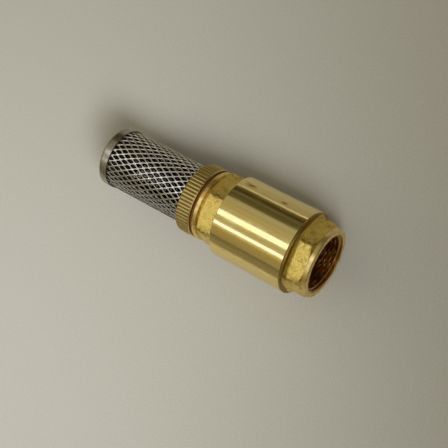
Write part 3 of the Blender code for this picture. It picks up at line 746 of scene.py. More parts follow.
@dataclass
class Turning:
    """A piece turned on the valve's axis from a closed outline of corners.

    An outline whose first and last corners are on the axis is solid there.
    """

    name: str
    corners: Sequence[Corner]
    coats: Mapping[Coat, Finish]
    forms: Mapping[Form, FormCut] = field(default_factory=dict)
    sides: int = 192
    roughcast: float = 0.0
    arc_steps: int = 4
    steps: Mapping[Form, float] = field(
        default_factory=lambda: {Form.PLAIN: 6.0, Form.HEXAGON: 0.45, Form.THREAD: 0.17, Form.KNURL: 0.4}
    )

    def outline(self) -> list[tuple[float, float, Form, Coat]]:
        """Round the corners and divide the stretches between them into short steps."""
        count = len(self.corners)
        solid = self.corners[0].r == 0.0
        points = [np.array((corner.x, corner.r)) for corner in self.corners]
        arcs = []
        for i, corner in enumerate(self.corners):
            before, here, after = points[i - 1], points[i], points[(i + 1) % count]
            reach = min(corner.soft, 0.45 * np.linalg.norm(here - before), 0.45 * np.linalg.norm(after - here))
            if reach <= 0.0:
                arcs.append([here])
                continue
            first = here + (before - here) / np.linalg.norm(before - here) * reach
            last = here + (after - here) / np.linalg.norm(after - here) * reach
            shares = np.linspace(0.0, 1.0, self.arc_steps + 1)
            arcs.append([(1 - t) ** 2 * first + 2 * t * (1 - t) * here + t * t * last for t in shares])
        dense = []
        for i, corner in enumerate(self.corners):
            previous = self.corners[i - 1]
            middle = len(arcs[i]) // 2
            for k, point in enumerate(arcs[i]):
                owner = corner if k >= middle else previous
                dense.append((*point, owner.form, owner.coat))
            if solid and i == count - 1:
                break
            start, end = arcs[i][-1], arcs[(i + 1) % count][0]
            parts = max(1, math.ceil(np.linalg.norm(end - start) / self.steps[corner.form]))
            for k in range(1, parts):
                dense.append((*(start + (end - start) * k / parts), corner.form, corner.coat))
        return dense

    def build(self) -> bpy.types.Object:
        """Make the piece."""
        dense = self.outline()
        solid = self.corners[0].r == 0.0
        angles = np.arange(self.sides) * 2 * math.pi / self.sides
        x = np.array([point[0] for point in dense])
        radius = np.repeat(np.array([point[1] for point in dense])[:, None], self.sides, axis=1)
        edge = np.zeros_like(radius)
        for form, cut in self.forms.items():
            rows = [i for i, point in enumerate(dense) if point[2] is form]
            spread = np.broadcast_to(angles, (len(rows), self.sides))
            stations = np.repeat(x[rows][:, None], self.sides, axis=1)
            radius[rows], edge[rows] = cut(stations, radius[rows], spread)
        if self.roughcast:
            self._roughen(dense, x, angles, radius)
        points = np.stack(
            [np.repeat(x[:, None], self.sides, axis=1), radius * np.cos(angles), radius * np.sin(angles)],
            axis=-1,
        )
        rows, sides = len(dense), self.sides
        first = np.arange(rows - 1 if solid else rows)[:, None]
        column = np.arange(sides)[None, :]
        after_row, after_column = (first + 1) % rows, (column + 1) % sides
        faces = np.stack(
            [
                first * sides + column,
                first * sides + after_column,
                after_row * sides + after_column,
                after_row * sides + column,
            ],
            axis=-1,
        ).reshape(-1, 4)
        coats = list(self.coats)
        worn = [coats.index(point[3]) for point in dense][: len(first)]
        mesh = bpy.data.meshes.new(self.name)
        mesh.from_pydata(points.reshape(-1, 3).tolist(), [], faces.tolist())
        mesh.polygons.foreach_set("material_index", np.repeat(worn, sides).astype(np.int32))
        stored = mesh.attributes.new("edge", "FLOAT", "POINT")
        stored.data.foreach_set("value", edge.reshape(-1).astype(np.float32))
        return to_world(mesh, [self.coats[coat] for coat in coats])

    def _roughen(
        self,
        dense: Sequence[tuple[float, float, Form, Coat]],
        x: np.ndarray,
        angles: np.ndarray,
        radius: np.ndarray,
    ) -> None:
        """Give the cast stretches the slight waviness of a casting."""
        for i, point in enumerate(dense):
            if point[3] not in (Coat.CAST, Coat.STAINED_AND_SHADED):
                continue
            for j, angle in enumerate(angles):
                spot = Vector((x[i] * 0.35, 7.0 * math.cos(angle), 7.0 * math.sin(angle)))
                radius[i, j] += self.roughcast * noise.noise(spot)


def to_world(mesh: bpy.types.Mesh, finishes: Iterable[Finish], sharp: float = 32.0) -> bpy.types.Object:
    """Move a mesh from the axis, in millimetres, to its place in the frame, and dress it.

    Args:
        mesh: The mesh, with its first coordinate along the axis.
        finishes: The finishes of its material indices.
        sharp: The angle in degrees above which an edge stays sharp.

    Returns:
        The piece.
    """
    shape = bmesh.new()
    shape.from_mesh(mesh)
    bmesh.ops.remove_doubles(shape, verts=shape.verts, dist=1e-4)
    bmesh.ops.recalc_face_normals(shape, faces=shape.faces)
    shape.to_mesh(mesh)
    shape.free()
    mesh.transform(Matrix.Translation((0.0, 0.0, AXIS_HEIGHT * MM)) @ Matrix.Scale(MM, 4))
    mesh.shade_smooth()
    mesh.set_sharp_from_angle(angle=math.radians(sharp))
    for finish in finishes:
        mesh.materials.append(finish.material())
    piece = bpy.data.objects.new(mesh.name, mesh)
    bpy.context.scene.collection.objects.link(piece)
    return piece


def arc(radius: float, first: float, last: float, steps: int) -> list[tuple[float, float]]:
    """Give points along an arc, from one angle to another."""
    return [(radius * math.cos(a), radius * math.sin(a)) for a in np.linspace(first, last, steps + 1)]


def extrude(
    name: str, outlines: Iterable[Sequence[tuple[float, float]]], start: float, end: float, edge: float
) -> bpy.types.Mesh:
    """Extrude flat outlines along the axis, with rounded edges.

    Args:
        name: The name of the mesh.
        outlines: The outer outline and those of the holes.
        start: The station of its near face.
        end: The station of its far face.
        edge: The radius of the rounded edges.

    Returns:
        The mesh, in millimetres on the axis.
    """
    curve = bpy.data.curves.new(name, "CURVE")
    curve.dimensions = "2D"
    curve.fill_mode = "BOTH"
    curve.bevel_depth = edge
    curve.bevel_resolution = 2
    curve.offset = -edge
    curve.extrude = (end - start) / 2 - edge
    for outline in outlines:
        spline = curve.splines.new("POLY")
        spline.points.add(len(outline) - 1)
        for point, (u, v) in zip(spline.points, outline):
            point.co = (u, v, 0.0, 1.0)
        spline.use_cyclic_u = True
    holder = bpy.data.objects.new(name, curve)
    mesh = bpy.data.meshes.new_from_object(holder)
    bpy.data.objects.remove(holder)
    turn = Matrix.Rotation(math.pi / 2, 4, "Y")
    mesh.transform(Matrix.Translation(((start + end) / 2, 0.0, 0.0)) @ turn)
    return mesh


def mount(piece: bpy.types.Object, body: Body, slot: Slot, *nodes: str) -> bpy.types.Object:
    """Hang a piece on a body, in place of CAD nodes, and report it."""
    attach(piece, body.value)
    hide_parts(*nodes)
    LOG.info("%s rides on %s, %d faces", piece.name, body.value, len(piece.data.polygons))
    return piece


# ---------------------------------------------------------------------------
# Sub-assemblies
# ---------------------------------------------------------------------------


@dataclass(frozen=True)
class Finishes:
    """The finishes of the whole valve."""

    polished: Finish = PolishedBrass("polished_brass")
    satin: Finish = SatinBrass("satin_brass")
    cast: Finish = CastBrass("cast_brass_grain")
    # A dark copy of the cast brass for the flange's rim: partly its dark cast skin, partly painted shade beside
    # the barrel.
    stained: Finish = CastBrass("stained_brass", gold=(0.30, 0.18, 0.04), pale=(0.44, 0.29, 0.08))
    # The threads wear a darker copy of the satin brass: painted shade inside the outlet bore, the inlet and the
    # gap at the collar's thread.
    bore: Finish = SatinBrass("bore_brass_painted_shade", light=(0.62, 0.36, 0.10), dark=(0.28, 0.13, 0.03), rough=0.16)
    knurled: Finish = KnurledBrass("knurled_brass_ridges")
    strand: Finish = StrandSteel("strand_steel")
    cap: Finish = BrushedSteel("brushed_steel")
    wire: Finish = WireSteel("wire_steel")
    fibre: Finish = Fibre("washer_fibre")
    rubber: Finish = Moulded("black_rubber", tone=(0.012, 0.012, 0.013))
    plastic: Finish = Moulded("brown_plastic", tone=(0.05, 0.032, 0.016), rough=0.35)

    def brass(self) -> dict[Coat, Finish]:
        """Give the coats of a brass shell."""
        return {
            Coat.SATIN: self.satin,
            Coat.CAST: self.cast,
            Coat.STAINED_AND_SHADED: self.stained,
            Coat.POLISHED: self.polished,
            Coat.THREADED: self.bore,
        }


@dataclass
class ValveShell:
    """The body: lip, cast hexagon and bright barrel outside; thread, pocket, seat and chamber inside."""

    finishes: Finishes
    inlet: float = -2.0
    lip_end: float = 0.35
    hex_start: float = 1.1
    barrel_start: float = 12.4
    barrel_end: float = 56.7
    lip_radius: float = 20.0
    groove_radius: float = 18.6
    flat_radius: float = 19.0
    turned_radius: float = 21.489
    barrel_radius: float = AXIS_HEIGHT
    recess_radius: float = 20.89
    chamber_radius: float = 20.29
    recess_start: float = 46.7
    chamber_start: float = 15.2
    seat_face: float = 16.5
    seat_radius: float = 12.49
    seat_lip: float = 1.6
    pocket_end: float = 12.1
    pocket_radius: float = 14.34
    groove_start: float = 7.6
    groove_width: float = 1.4
    groove_depth: float = 0.75
    thread_end: float = 6.8
    mouth_radius: float = 16.72

    def corners(self) -> list[Corner]:
        """Give the outline: out along the outside, and back through the inside."""
        rise = (self.turned_radius - self.flat_radius) * math.tan(math.radians(30))
        hexed = {"form": Form.HEXAGON, "coat": Coat.CAST}
        bright = {"coat": Coat.POLISHED}
        lip = self.seat_radius + self.seat_lip
        cone_end = self.inlet + self.mouth_radius - self.pocket_radius
        return [
            Corner(self.inlet, self.mouth_radius, 0.15),
            Corner(self.inlet, self.lip_radius, 0.35),
            Corner(self.lip_end, self.lip_radius, 0.4),
            Corner(self.lip_end + 0.35, self.groove_radius, 0.15, coat=Coat.CAST),
            Corner(self.hex_start - 0.2, self.groove_radius, 0.15, **hexed),
            Corner(self.hex_start, self.flat_radius, 0.1, **hexed),
            Corner(self.hex_start + rise, self.turned_radius, 0.5, **hexed),
            Corner(self.barrel_start, self.turned_radius, 0.25, coat=Coat.CAST),
            Corner(self.barrel_start, self.barrel_radius - 0.35, 0.1, **bright),
            Corner(self.barrel_start + 0.35, self.barrel_radius, 0.2, **bright),
            Corner(self.barrel_end - 0.3, self.barrel_radius, 0.2, **bright),
            Corner(self.barrel_end, self.barrel_radius - 0.3, 0.1),
            Corner(self.barrel_end, self.recess_radius, 0.1),
            Corner(self.recess_start, self.recess_radius, 0.1),
            Corner(self.recess_start, self.chamber_radius, 0.1),
            Corner(self.chamber_start, self.chamber_radius, 0.6),
            Corner(self.chamber_start, lip, 0.3),
            Corner(self.seat_face, lip, 0.15),
            Corner(self.seat_face, self.seat_radius, 0.3),
            Corner(self.pocket_end, self.seat_radius, 0.2),
            Corner(self.pocket_end, self.pocket_radius, 0.1),
            *groove_corners(self.groove_start, self.groove_width, self.pocket_radius, self.groove_depth),
            Corner(self.thread_end, self.pocket_radius, form=Form.THREAD, coat=Coat.THREADED),
            Corner(cone_end, self.pocket_radius, form=Form.THREAD, coat=Coat.THREADED),
        ]

    def build(self) -> bpy.types.Object:
        """Make the shell and hang it on the frame."""
        forms = {
            Form.HEXAGON: Hexagon(self.flat_radius),
            Form.THREAD: Thread(16.62, 15.14, self.inlet, inside=True),
        }
        turned = Turning("valve_shell", self.corners(), self.finishes.brass(), forms, sides=240, roughcast=0.10)
        return mount(turned.build(), Body.VALVE, Slot.TURNED_BRASS, "valve_body")


@dataclass
class OutletEnd:
    """The end piece: spigot and flange, cast hexagon, turned rim and the threaded outlet."""

    finishes: Finishes
    spigot_start: float = 47.0
    spigot_radius: float = 20.59
    ring_station: float = 54.5
    ring_half: float = 1.1
    ring_floor: float = 18.69
    flange_start: float = 56.8
    flange_end: float = 59.3
    flange_radius: float = 23.19
    flat_radius: float = 19.0
    turned_radius: float = 21.489
    rim_start: float = 67.9
    rim_radius: float = 19.5
    face: float = 70.5
    mouth_radius: float = 16.72
    bore_radius: float = 13.64
    pocket_radius: float = 16.99
    pocket_end: float = 52.3
    groove_start: float = 47.8
    groove_width: float = 1.4
    groove_depth: float = 0.75
    thread_start: float = 57.2

    def corners(self) -> list[Corner]:
        """Give the outline: out along the outside, and back through the inside."""
        slope = (self.turned_radius - self.rim_radius) * math.tan(math.radians(30))
        hexed = {"form": Form.HEXAGON, "coat": Coat.CAST}
        threaded = {"form": Form.THREAD, "coat": Coat.THREADED}
        cone_end = self.face - (self.mouth_radius - self.bore_radius)
        return [
            Corner(self.spigot_start, self.pocket_radius, 0.2),
            Corner(self.spigot_start, self.spigot_radius, 0.3),
            Corner(self.ring_station - self.ring_half, self.spigot_radius, 0.1),
            Corner(self.ring_station - self.ring_half, self.ring_floor, 0.2),
            Corner(self.ring_station + self.ring_half, self.ring_floor, 0.2),
            Corner(self.ring_station + self.ring_half, self.spigot_radius, 0.1),
            Corner(self.flange_start, self.spigot_radius, 0.1),
            # The flange's rim is darker: dark cast skin with painted shade.
            Corner(self.flange_start, self.flange_radius, 0.3, coat=Coat.STAINED_AND_SHADED),
            Corner(self.flange_start + 1.0, self.flange_radius, 0.5, form=Form.HEXAGON, coat=Coat.STAINED_AND_SHADED),
            Corner(self.flange_start + 1.5, self.flange_radius - 0.35, 0.5, **hexed),
            Corner(self.flange_end + 0.4, self.turned_radius + 0.1, 1.2, **hexed),
            Corner(self.rim_start - slope, self.turned_radius, 0.8, **hexed),
            Corner(self.rim_start, self.rim_radius, 0.3),
            Corner(self.face - 0.5, self.rim_radius, 0.35),
            Corner(self.face, self.rim_radius - 0.5, 0.35),
            Corner(self.face, self.mouth_radius, 0.2, **threaded),
            Corner(cone_end, self.bore_radius, **threaded),
            Corner(self.thread_start, self.bore_radius),
            Corner(self.pocket_end, self.bore_radius, 0.1),
            Corner(self.pocket_end, self.pocket_radius, 0.1),
            *groove_corners(self.groove_start, self.groove_width, self.pocket_radius, self.groove_depth),
        ]

    def build(self) -> bpy.types.Object:
        """Make the end piece and hang it on the frame."""
        forms = {
            Form.HEXAGON: Hexagon(
                self.flat_radius,
                fillet_start=self.flange_start + 0.9,
                fillet_end=self.flange_end + 1.2,
                fillet_rise=self.flange_radius - self.flat_radius + 0.4,
            ),
            Form.THREAD: Thread(16.62, 15.14, self.face, inside=True),
        }
        turned = Turning("outlet_end", self.corners(), self.finishes.brass(), forms, sides=240, roughcast=0.10)
        return mount(turned.build(), Body.VALVE, Slot.CAST_BRASS, "outlet_end_piece")


@dataclass
class Collar:
    """The knurled collar with its male thread, and the fibre washer in front of it."""

    finishes: Finishes
    start: float = -12.9
    end: float = -3.6
    radius: float = 20.35
    chamfer: float = 0.8
    pocket_radius: float = 17.2
    pocket_end: float = -6.9
    bore_radius: float = 13.19
    spigot_end: float = 6.2
    inlet: float = -2.0
    washer_start: float = -3.3
    washer_end: float = -2.3
    washer_bore: float = 16.7
    washer_bulge: float = 0.6
    crest: float = 16.32
    root: float = 14.84

    def build(self) -> list[bpy.types.Object]:
        """Make both pieces and hang them on the frame."""
        knurled = {"form": Form.KNURL, "coat": Coat.CAST}
        threaded = {"form": Form.THREAD, "coat": Coat.THREADED}
        crest, root = self.crest, self.root
        corners = [
            Corner(self.start, self.pocket_radius, 0.2),
            Corner(self.start, self.radius - self.chamfer, 0.25, **knurled),
            Corner(self.start + 0.75 * self.chamfer, self.radius, 0.4, **knurled),
            Corner(self.end - 0.25, self.radius, 0.2),
            Corner(self.end, self.radius - 0.3, 0.15),
            Corner(self.end, crest, **threaded),
            Corner(self.spigot_end - (crest - root), crest, **threaded),
            Corner(self.spigot_end, root, 0.1),
            Corner(self.spigot_end, self.bore_radius, 0.3),
            Corner(self.pocket_end, self.bore_radius, 0.1),
            Corner(self.pocket_end, self.pocket_radius, 0.1),
        ]
        forms = {
            Form.KNURL: Knurl(60, 0.34, self.start + 0.2, self.end - 0.35),
            Form.THREAD: Thread(crest, root, self.inlet, inside=False),
        }
        coats = self.finishes.brass() | {Coat.CAST: self.finishes.knurled}
        collar = Turning("knurled_collar", corners, coats, forms, sides=720).build()
        low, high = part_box("collar_washer")
        outer = (high.z - low.z) / 2 / MM + self.washer_bulge
        ring = ring_corners(self.washer_start, self.washer_end, self.washer_bore, outer, 0.2, 0.3)
        washer = Turning("fibre_washer", ring, {Coat.SATIN: self.finishes.fibre}).build()
        return [
            mount(collar, Body.STRAINER, Slot.KNURLED_BRASS, "strainer_collar"),
            mount(washer, Body.WASHER, Slot.RED_FIBRE, "collar_washer"),
        ]


@dataclass
class StrainerMesh:
    """The sleeve of expanded sheet: diamond openings in a rolled wall."""

    finishes: Finishes
    start: float = -68.2
    end: float = -7.2
    radius: float = 16.9
    wall: float = 0.75
    round_count: int = 30
    pitch: float = 6.23
    hole_along: float = 0.74
    hole_round: float = 0.66
    throat_along: float = 0.46
    throat_round: float = 0.40
    bevel: float = 0.12
    shoulder_depth: float = 0.03
    hole_depth: float = 0.22
    back_depth: float = 0.12
    points: int = 16
    tilt: float = 0.16

    def _ring(self, share_along: float, share_round: float, power: float) -> np.ndarray:
        """Give a rounded diamond as shares of a cell's half length and half width."""
        angles = np.arange(self.points) * 2 * math.pi / self.points
        c, s = np.cos(angles), np.sin(angles)
        reach = (np.abs(c) ** power + np.abs(s) ** power) ** (-1.0 / power)
        return np.stack([share_along * reach * c, share_round * reach * s], axis=-1)

    def rings(self) -> list[tuple[np.ndarray, float, float]]:
        """Give the rings of one cell, from its border on the outside to its border on the inside.

        Returns:
            Each ring's outline, its depth below the outer face and its cut share, which dulls the sheared sides
            and, on the inner face, paints shade.
        """
        half_along, half_round = self.pitch / 2, self.radius * math.pi / self.round_count
        grow_along, grow_round = self.bevel / half_along, self.bevel / half_round
        border = self._ring(1.0, 1.0, 1.0)
        top = self._ring(self.hole_along + grow_along * 1.6, self.hole_round + grow_round, 1.25)
        hole = self._ring(self.hole_along, self.hole_round, 1.3)
        throat = self._ring(self.throat_along, self.throat_round, 1.4)
        return [
            (border, 0.0, 0.0),
            ((border + top * 2) / 3, 0.0, 0.0),
            (top, self.shoulder_depth, 0.1),
            (hole, self.hole_depth, 0.9),
            (throat, self.wall - self.back_depth, 1.0),
            (throat * 1.04, self.wall, 0.6),
            (border, self.wall, 0.3),
        ]

    def build(self) -> bpy.types.Object:
        """Make the sleeve and hang it on the frame."""
        half_along = self.pitch / 2
        half_angle = math.pi / self.round_count
        columns = math.floor((self.end - self.start - 0.2) / half_along) - 1
        first = (self.start + self.end - (columns - 1) * half_along) / 2
        rings = self.rings()
        points, edge, faces = [], [], []
        for column in range(columns):
            for row in range(self.round_count):
                middle = 2 * row * half_angle + (column % 2) * half_angle
                base = len(points)
                for outline, depth, cut in rings:
                    for along, around in outline:
                        lean = -self.tilt * around * (1.0 - cut * 0.3)
                        level = self.radius - depth + lean
                        angle = middle + around * half_angle
                        station = first + column * half_along + along * half_along
                        points.append((station, level * math.cos(angle), level * math.sin(angle)))
                        edge.append(cut)
                for ring in range(len(rings) - 1):
                    for k in range(self.points):
                        after = (k + 1) % self.points
                        a, b = base + ring * self.points, base + (ring + 1) * self.points
                        faces.append((a + k, a + after, b + after, b + k))
        mesh = bpy.data.meshes.new("strainer_mesh")
        mesh.from_pydata(points, [], faces)
        stored = mesh.attributes.new("edge", "FLOAT", "POINT")
        stored.data.foreach_set("value", np.array(edge, np.float32))
        piece = to_world(mesh, [self.finishes.strand], sharp=40.0)
        return mount(piece, Body.STRAINER, Slot.EXPANDED_STEEL, "mesh_sleeve")


@dataclass
class EndCup:
    """The pressed cup over the strainer's end, and the ring that clamps the sleeve in the collar."""

    finishes: Finishes
    end: float = -70.5
    rim: float = -64.9
    radius: float = 17.7
    wall: float = 0.5
    dish: float = 0.35
    clamp_wall: float = 1.2

    def build(self) -> list[bpy.types.Object]:
        """Make both pieces and hang them on the frame."""
        inner = self.radius - self.wall
        floor = self.end + self.dish
        corners = [
            Corner(floor, 0.0),
            Corner(floor, self.radius - 4.2, 0.8),
            Corner(self.end, self.radius - 3.6, 0.6),
            Corner(self.end, self.radius, 2.6),
            Corner(self.rim, self.radius, 0.2),
            Corner(self.rim, inner, 0.2),
            Corner(self.end + self.wall, inner, 2.0),
            Corner(self.end + self.wall, self.radius - 3.9, 0.5),
            Corner(floor + self.wall, self.radius - 4.5, 0.5),
            Corner(floor + self.wall, 0.0),
        ]
        cup = Turning("end_cup", corners, {Coat.SATIN: self.finishes.cap}, arc_steps=7).build()
        low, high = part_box("sleeve_clamp_ring")
        outer = (high.z - low.z) / 2 / MM
        ring = ring_corners(low.x / MM, high.x / MM, outer - self.clamp_wall, outer, 0.2, 0.2)
        clamp = Turning("clamp_ring", ring, {Coat.SATIN: self.finishes.cap}, sides=120).build()
        return [
            mount(cup, Body.STRAINER, Slot.CAP_STEEL, "strainer_end_cap"),
            mount(clamp, Body.STRAINER, Slot.CAP_STEEL, "sleeve_clamp_ring"),
        ]


@dataclass
class Guide:
    """A spider that holds the stem: a ring, three arms and a long hub, with its snap ring."""

    finishes: Finishes
    name: str
    node: str
    ring_name: str
    ring_node: str
    outer: float
    inner: float
    ring_start: float
    hub_start: float
    hub_end: float
    ring_groove: float
    ring_length: float = 2.5
    hub: float = 4.0
    bore: float = 2.3
    arm: float = 2.6
    arms: int = 3
    edge: float = 0.25
    snap_width: float = 1.9
    snap_length: float = 0.8
    snap_opening: float = 24.0

    def _spider(self) -> bpy.types.Mesh:
        """Make the ring, the arms and the hub as one mesh."""
        step = 2 * math.pi / self.arms
        outlines = [arc(self.outer, 0.0, 2 * math.pi * 159 / 160, 159)]
        near_radius = self.hub - 2 * self.edge
        far_half = math.asin(self.arm / 2 / self.inner)
        near_half = math.asin(self.arm / 2 / near_radius)
        for arm in range(self.arms):
            far = arc(self.inner, arm * step + far_half, (arm + 1) * step - far_half, 44)
            near = arc(near_radius, (arm + 1) * step - near_half, arm * step + near_half, 12)
            outlines.append(far + near)
        outlines.append(arc(self.bore, 0.0, 2 * math.pi * 47 / 48, 47))
        return extrude(self.name, outlines, self.ring_start, self.ring_start + self.ring_length, self.edge)

    def build(self) -> list[bpy.types.Object]:
        """Make both pieces and hang them on the frame."""
        spider = to_world(self._spider(), [self.finishes.plastic], sharp=50.0)
        hub_corners = ring_corners(self.hub_start, self.hub_end, self.bore, self.hub, 0.2, 0.4)
        hub = Turning(self.name + "_hub", hub_corners, {Coat.SATIN: self.finishes.plastic}, sides=64).build()
        with bpy.context.temp_override(active_object=spider, selected_editable_objects=[spider, hub]):
            bpy.ops.object.join()
        opening = math.radians(self.snap_opening)
        snap_outer = self.outer + 0.75
        outline = arc(snap_outer, opening / 2, 2 * math.pi - opening / 2, 120)
        outline += arc(snap_outer - self.snap_width, 2 * math.pi - opening / 2, opening / 2, 120)
        flat = extrude(
            self.ring_name, [outline], self.ring_groove, self.ring_groove + self.snap_length, self.edge
        )
        snap = to_world(flat, [self.finishes.wire], sharp=50.0)
        return [
            mount(spider, Body.VALVE, Slot.GUIDE_PLASTIC, self.node),
            mount(snap, Body.VALVE, Slot.SPRING_STEEL, self.ring_node),
        ]


@dataclass
class Poppet:
    """What slides: plate, seal, retainer, lock washer, nut and stem."""

    finishes: Finishes
    bore: float = 2.3
    plate_radius: float = 16.49
    plate_start: float = 19.1
    plate_end: float = 22.1
    rim_start: float = 17.6
    rim_wall: float = 0.7
    boss_radius: float = 5.6
    boss_end: float = 25.1
    stem_radius: float = 2.0
    stem_start: float = 1.5
    stem_end: float = 47.2
    shoulder_radius: float = 3.5
    shoulder_start: float = 25.4
    shoulder_end: float = 26.9
    split: float = 24.0
    split_edge: float = 0.12
    ring_sides: int = 120

    def _ring(self, name: str, node: str, finish: Finish, slot: Slot) -> bpy.types.Object:
        """Make a plain ring the size of its CAD node, with soft corners."""
        low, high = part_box(node)
        outer = (high.y - low.y) / 2 / MM
        start, end = low.x / MM, high.x / MM
        corners = ring_corners(start, end, self.bore, outer, 0.1, 0.25)
        piece = Turning(name, corners, {Coat.SATIN: finish}, sides=self.ring_sides).build()
        return mount(piece, Body.POPPET, slot, node)

    def _plate(self) -> bpy.types.Object:
        """Make the plate with its rim and boss."""
        inner = self.plate_radius - self.rim_wall
        corners = [
            Corner(self.plate_start, self.bore, 0.1),
            Corner(self.plate_start, inner, 0.1),
            Corner(self.rim_start, inner, 0.15),
            Corner(self.rim_start, self.plate_radius, 0.2),
            Corner(self.plate_end, self.plate_radius, 0.7),
            Corner(self.plate_end, self.boss_radius, 0.5),
            Corner(self.boss_end, self.boss_radius, 0.5),
            Corner(self.boss_end, self.bore, 0.1),
        ]
        piece = Turning("poppet_disc", corners, {Coat.SATIN: self.finishes.satin}, sides=160).build()
        return mount(piece, Body.POPPET, Slot.CAST_BRASS, "poppet_plate")

    def _stem(self) -> bpy.types.Object:
        """Make the stem with its shoulder."""
        corners = [
            Corner(self.stem_start, 0.0),
            Corner(self.stem_start, self.stem_radius, 0.6),
            Corner(self.shoulder_start, self.stem_radius, 0.1),
            Corner(self.shoulder_start, self.shoulder_radius, 0.2),
            Corner(self.shoulder_end, self.shoulder_radius, 0.3),
            Corner(self.shoulder_end, self.stem_radius, 0.2),
            Corner(self.stem_end, self.stem_radius, 0.6),
            Corner(self.stem_end, 0.0),
        ]
        piece = Turning("poppet_rod", corners, {Coat.SATIN: self.finishes.wire}, sides=64).build()
        return mount(piece, Body.POPPET, Slot.SPRING_STEEL, "poppet_stem")

    def _nut(self) -> bpy.types.Object:
        """Make the thin hexagon nut with its turned corners."""
        low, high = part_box("poppet_nut")
        start, end = low.x / MM, high.x / MM
        flat = self.bore + 1.2
        crown = flat / math.cos(math.pi / 6)
        cut = {"form": Form.HEXAGON}
        corners = [
            Corner(start, self.bore, 0.1),
            Corner(start, flat, 0.05, **cut),
            Corner(start + 0.3, crown, 0.05, **cut),
            Corner(end - 0.3, crown, 0.05, **cut),
            Corner(end, flat, 0.05),
            Corner(end, self.bore, 0.1),
        ]
        forms = {Form.HEXAGON: Hexagon(flat, normal=math.pi / 2, blend=0.04)}
        piece = Turning("clamp_nut", corners, {Coat.SATIN: self.finishes.wire}, forms, sides=96).build()
        return mount(piece, Body.POPPET, Slot.SPRING_STEEL, "poppet_nut")

    def _lock_washer(self) -> bpy.types.Object:
        """Make the split washer under the nut, open towards the floor."""
        low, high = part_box("lock_washer")
        outer = (high.z - low.z) / 2 / MM
        half = math.radians(self.split / 2)
        outline = arc(outer, half, 2 * math.pi - half, 60) + arc(self.bore, 2 * math.pi - half, half, 60)
        flat = extrude("nut_lock_washer", [outline], low.x / MM, high.x / MM, self.split_edge)
        piece = to_world(flat, [self.finishes.wire], sharp=50.0)
        return mount(piece, Body.POPPET, Slot.SPRING_STEEL, "lock_washer")

    def build(self) -> list[bpy.types.Object]:
        """Make the pieces and hang them on the frame."""
        return [
            self._plate(),
            self._stem(),
            self._nut(),
            self._ring("seal_disc", "poppet_seal", self.finishes.rubber, Slot.NITRILE),
            self._ring("retainer_disc", "seal_retainer", self.finishes.satin, Slot.CAST_BRASS),
            self._lock_washer(),
        ]


@dataclass
class Spring:
    """The closing spring, with closed end turns, and the washer it pushes on."""

    finishes: Finishes
    start: float = 22.4
    end: float = 48.4
    radius: float = 7.0
    wire: float = 0.6
    turns: int = 7
    steps: int = 48
    sides: int = 14
    end_lift: float = 0.2
    lift: float = 8.0
    seat_bore: float = 4.3

    def _centre(self, turn: float) -> Vector:
        """Give the wire's middle after so many turns."""
        closed = 2 * self.wire + self.end_lift
        length = self.end - self.start - 2 * self.wire
        pitch = (length - 2 * closed) / (self.turns - 2)
        station = self.start + self.wire + closed * min(turn, 1.0)
        station += pitch * min(max(turn - 1.0, 0.0), self.turns - 2.0)
        station += closed * max(turn - self.turns + 1.0, 0.0)
        angle = 2 * math.pi * turn - math.pi / 2
        return Vector((station, self.radius * math.cos(angle), self.radius * math.sin(angle)))

    def _wire(self) -> bpy.types.Mesh:
        """Sweep the wire's circle along the helix."""
        count = self.turns * self.steps
        centres = [self._centre(i / self.steps) for i in range(count + 1)]
        points, faces = [], []
        for i, centre in enumerate(centres):
            ahead = centres[min(i + 1, count)] - centres[max(i - 1, 0)]
            outward = Vector((0.0, centre.y, centre.z)).normalized()
            side = ahead.normalized().cross(outward).normalized()
            for k in range(self.sides):
                angle = 2 * math.pi * k / self.sides
                points.append(centre + self.wire * (math.cos(angle) * outward + math.sin(angle) * side))
        for i in range(count):
            for k in range(self.sides):
                after = (k + 1) % self.sides
                a, b = i * self.sides, (i + 1) * self.sides
                faces.append((a + k, a + after, b + after, b + k))
        faces.append(tuple(range(self.sides)))
        faces.append(tuple(range(count * self.sides, (count + 1) * self.sides)))
        mesh = bpy.data.meshes.new("spring_coil")
        mesh.from_pydata([tuple(point) for point in points], [], faces)
        return mesh

    def build(self) -> list[bpy.types.Object]:
        """Make both pieces and hang them on the frame."""
        coil = to_world(self._wire(), [self.finishes.wire], sharp=60.0)
        mount(coil, Body.VALVE, Slot.SPRING_STEEL, "closing_spring")
        length = self.end - self.start
        anchor = (self.end * MM, 0.0, AXIS_HEIGHT * MM)
        (length - self.lift) / length
        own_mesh(coil)
        low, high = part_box("spring_seat")
        outer = (high.y - low.y) / 2 / MM
        corners = ring_corners(low.x / MM, high.x / MM, self.seat_bore, outer, 0.1, 0.15)
        seat = Turning("spring_washer", corners, {Coat.SATIN: self.finishes.wire}, sides=96).build()
        return [coil, mount(seat, Body.VALVE, Slot.SPRING_STEEL, "spring_seat")]


@dataclass
class SealRing:
    """The O-ring between the end piece and the barrel."""

    finishes: Finishes
    station: float = 54.5
    major: float = 19.79
    minor: float = 0.8

    def build(self) -> bpy.types.Object:
        """Make the ring and hang it on the frame."""
        reach = self.minor
        square = [(-reach, -reach), (-reach, reach), (reach, reach), (reach, -reach)]
        corners = [Corner(self.station + u, self.major + v, reach) for u, v in square]
        ring = Turning("seal_ring", corners, {Coat.SATIN: self.finishes.rubber}, arc_steps=6).build()
        return mount(ring, Body.VALVE, Slot.NITRILE, "end_piece_o_ring")


# ---------------------------------------------------------------------------
# Studio
# ---------------------------------------------------------------------------


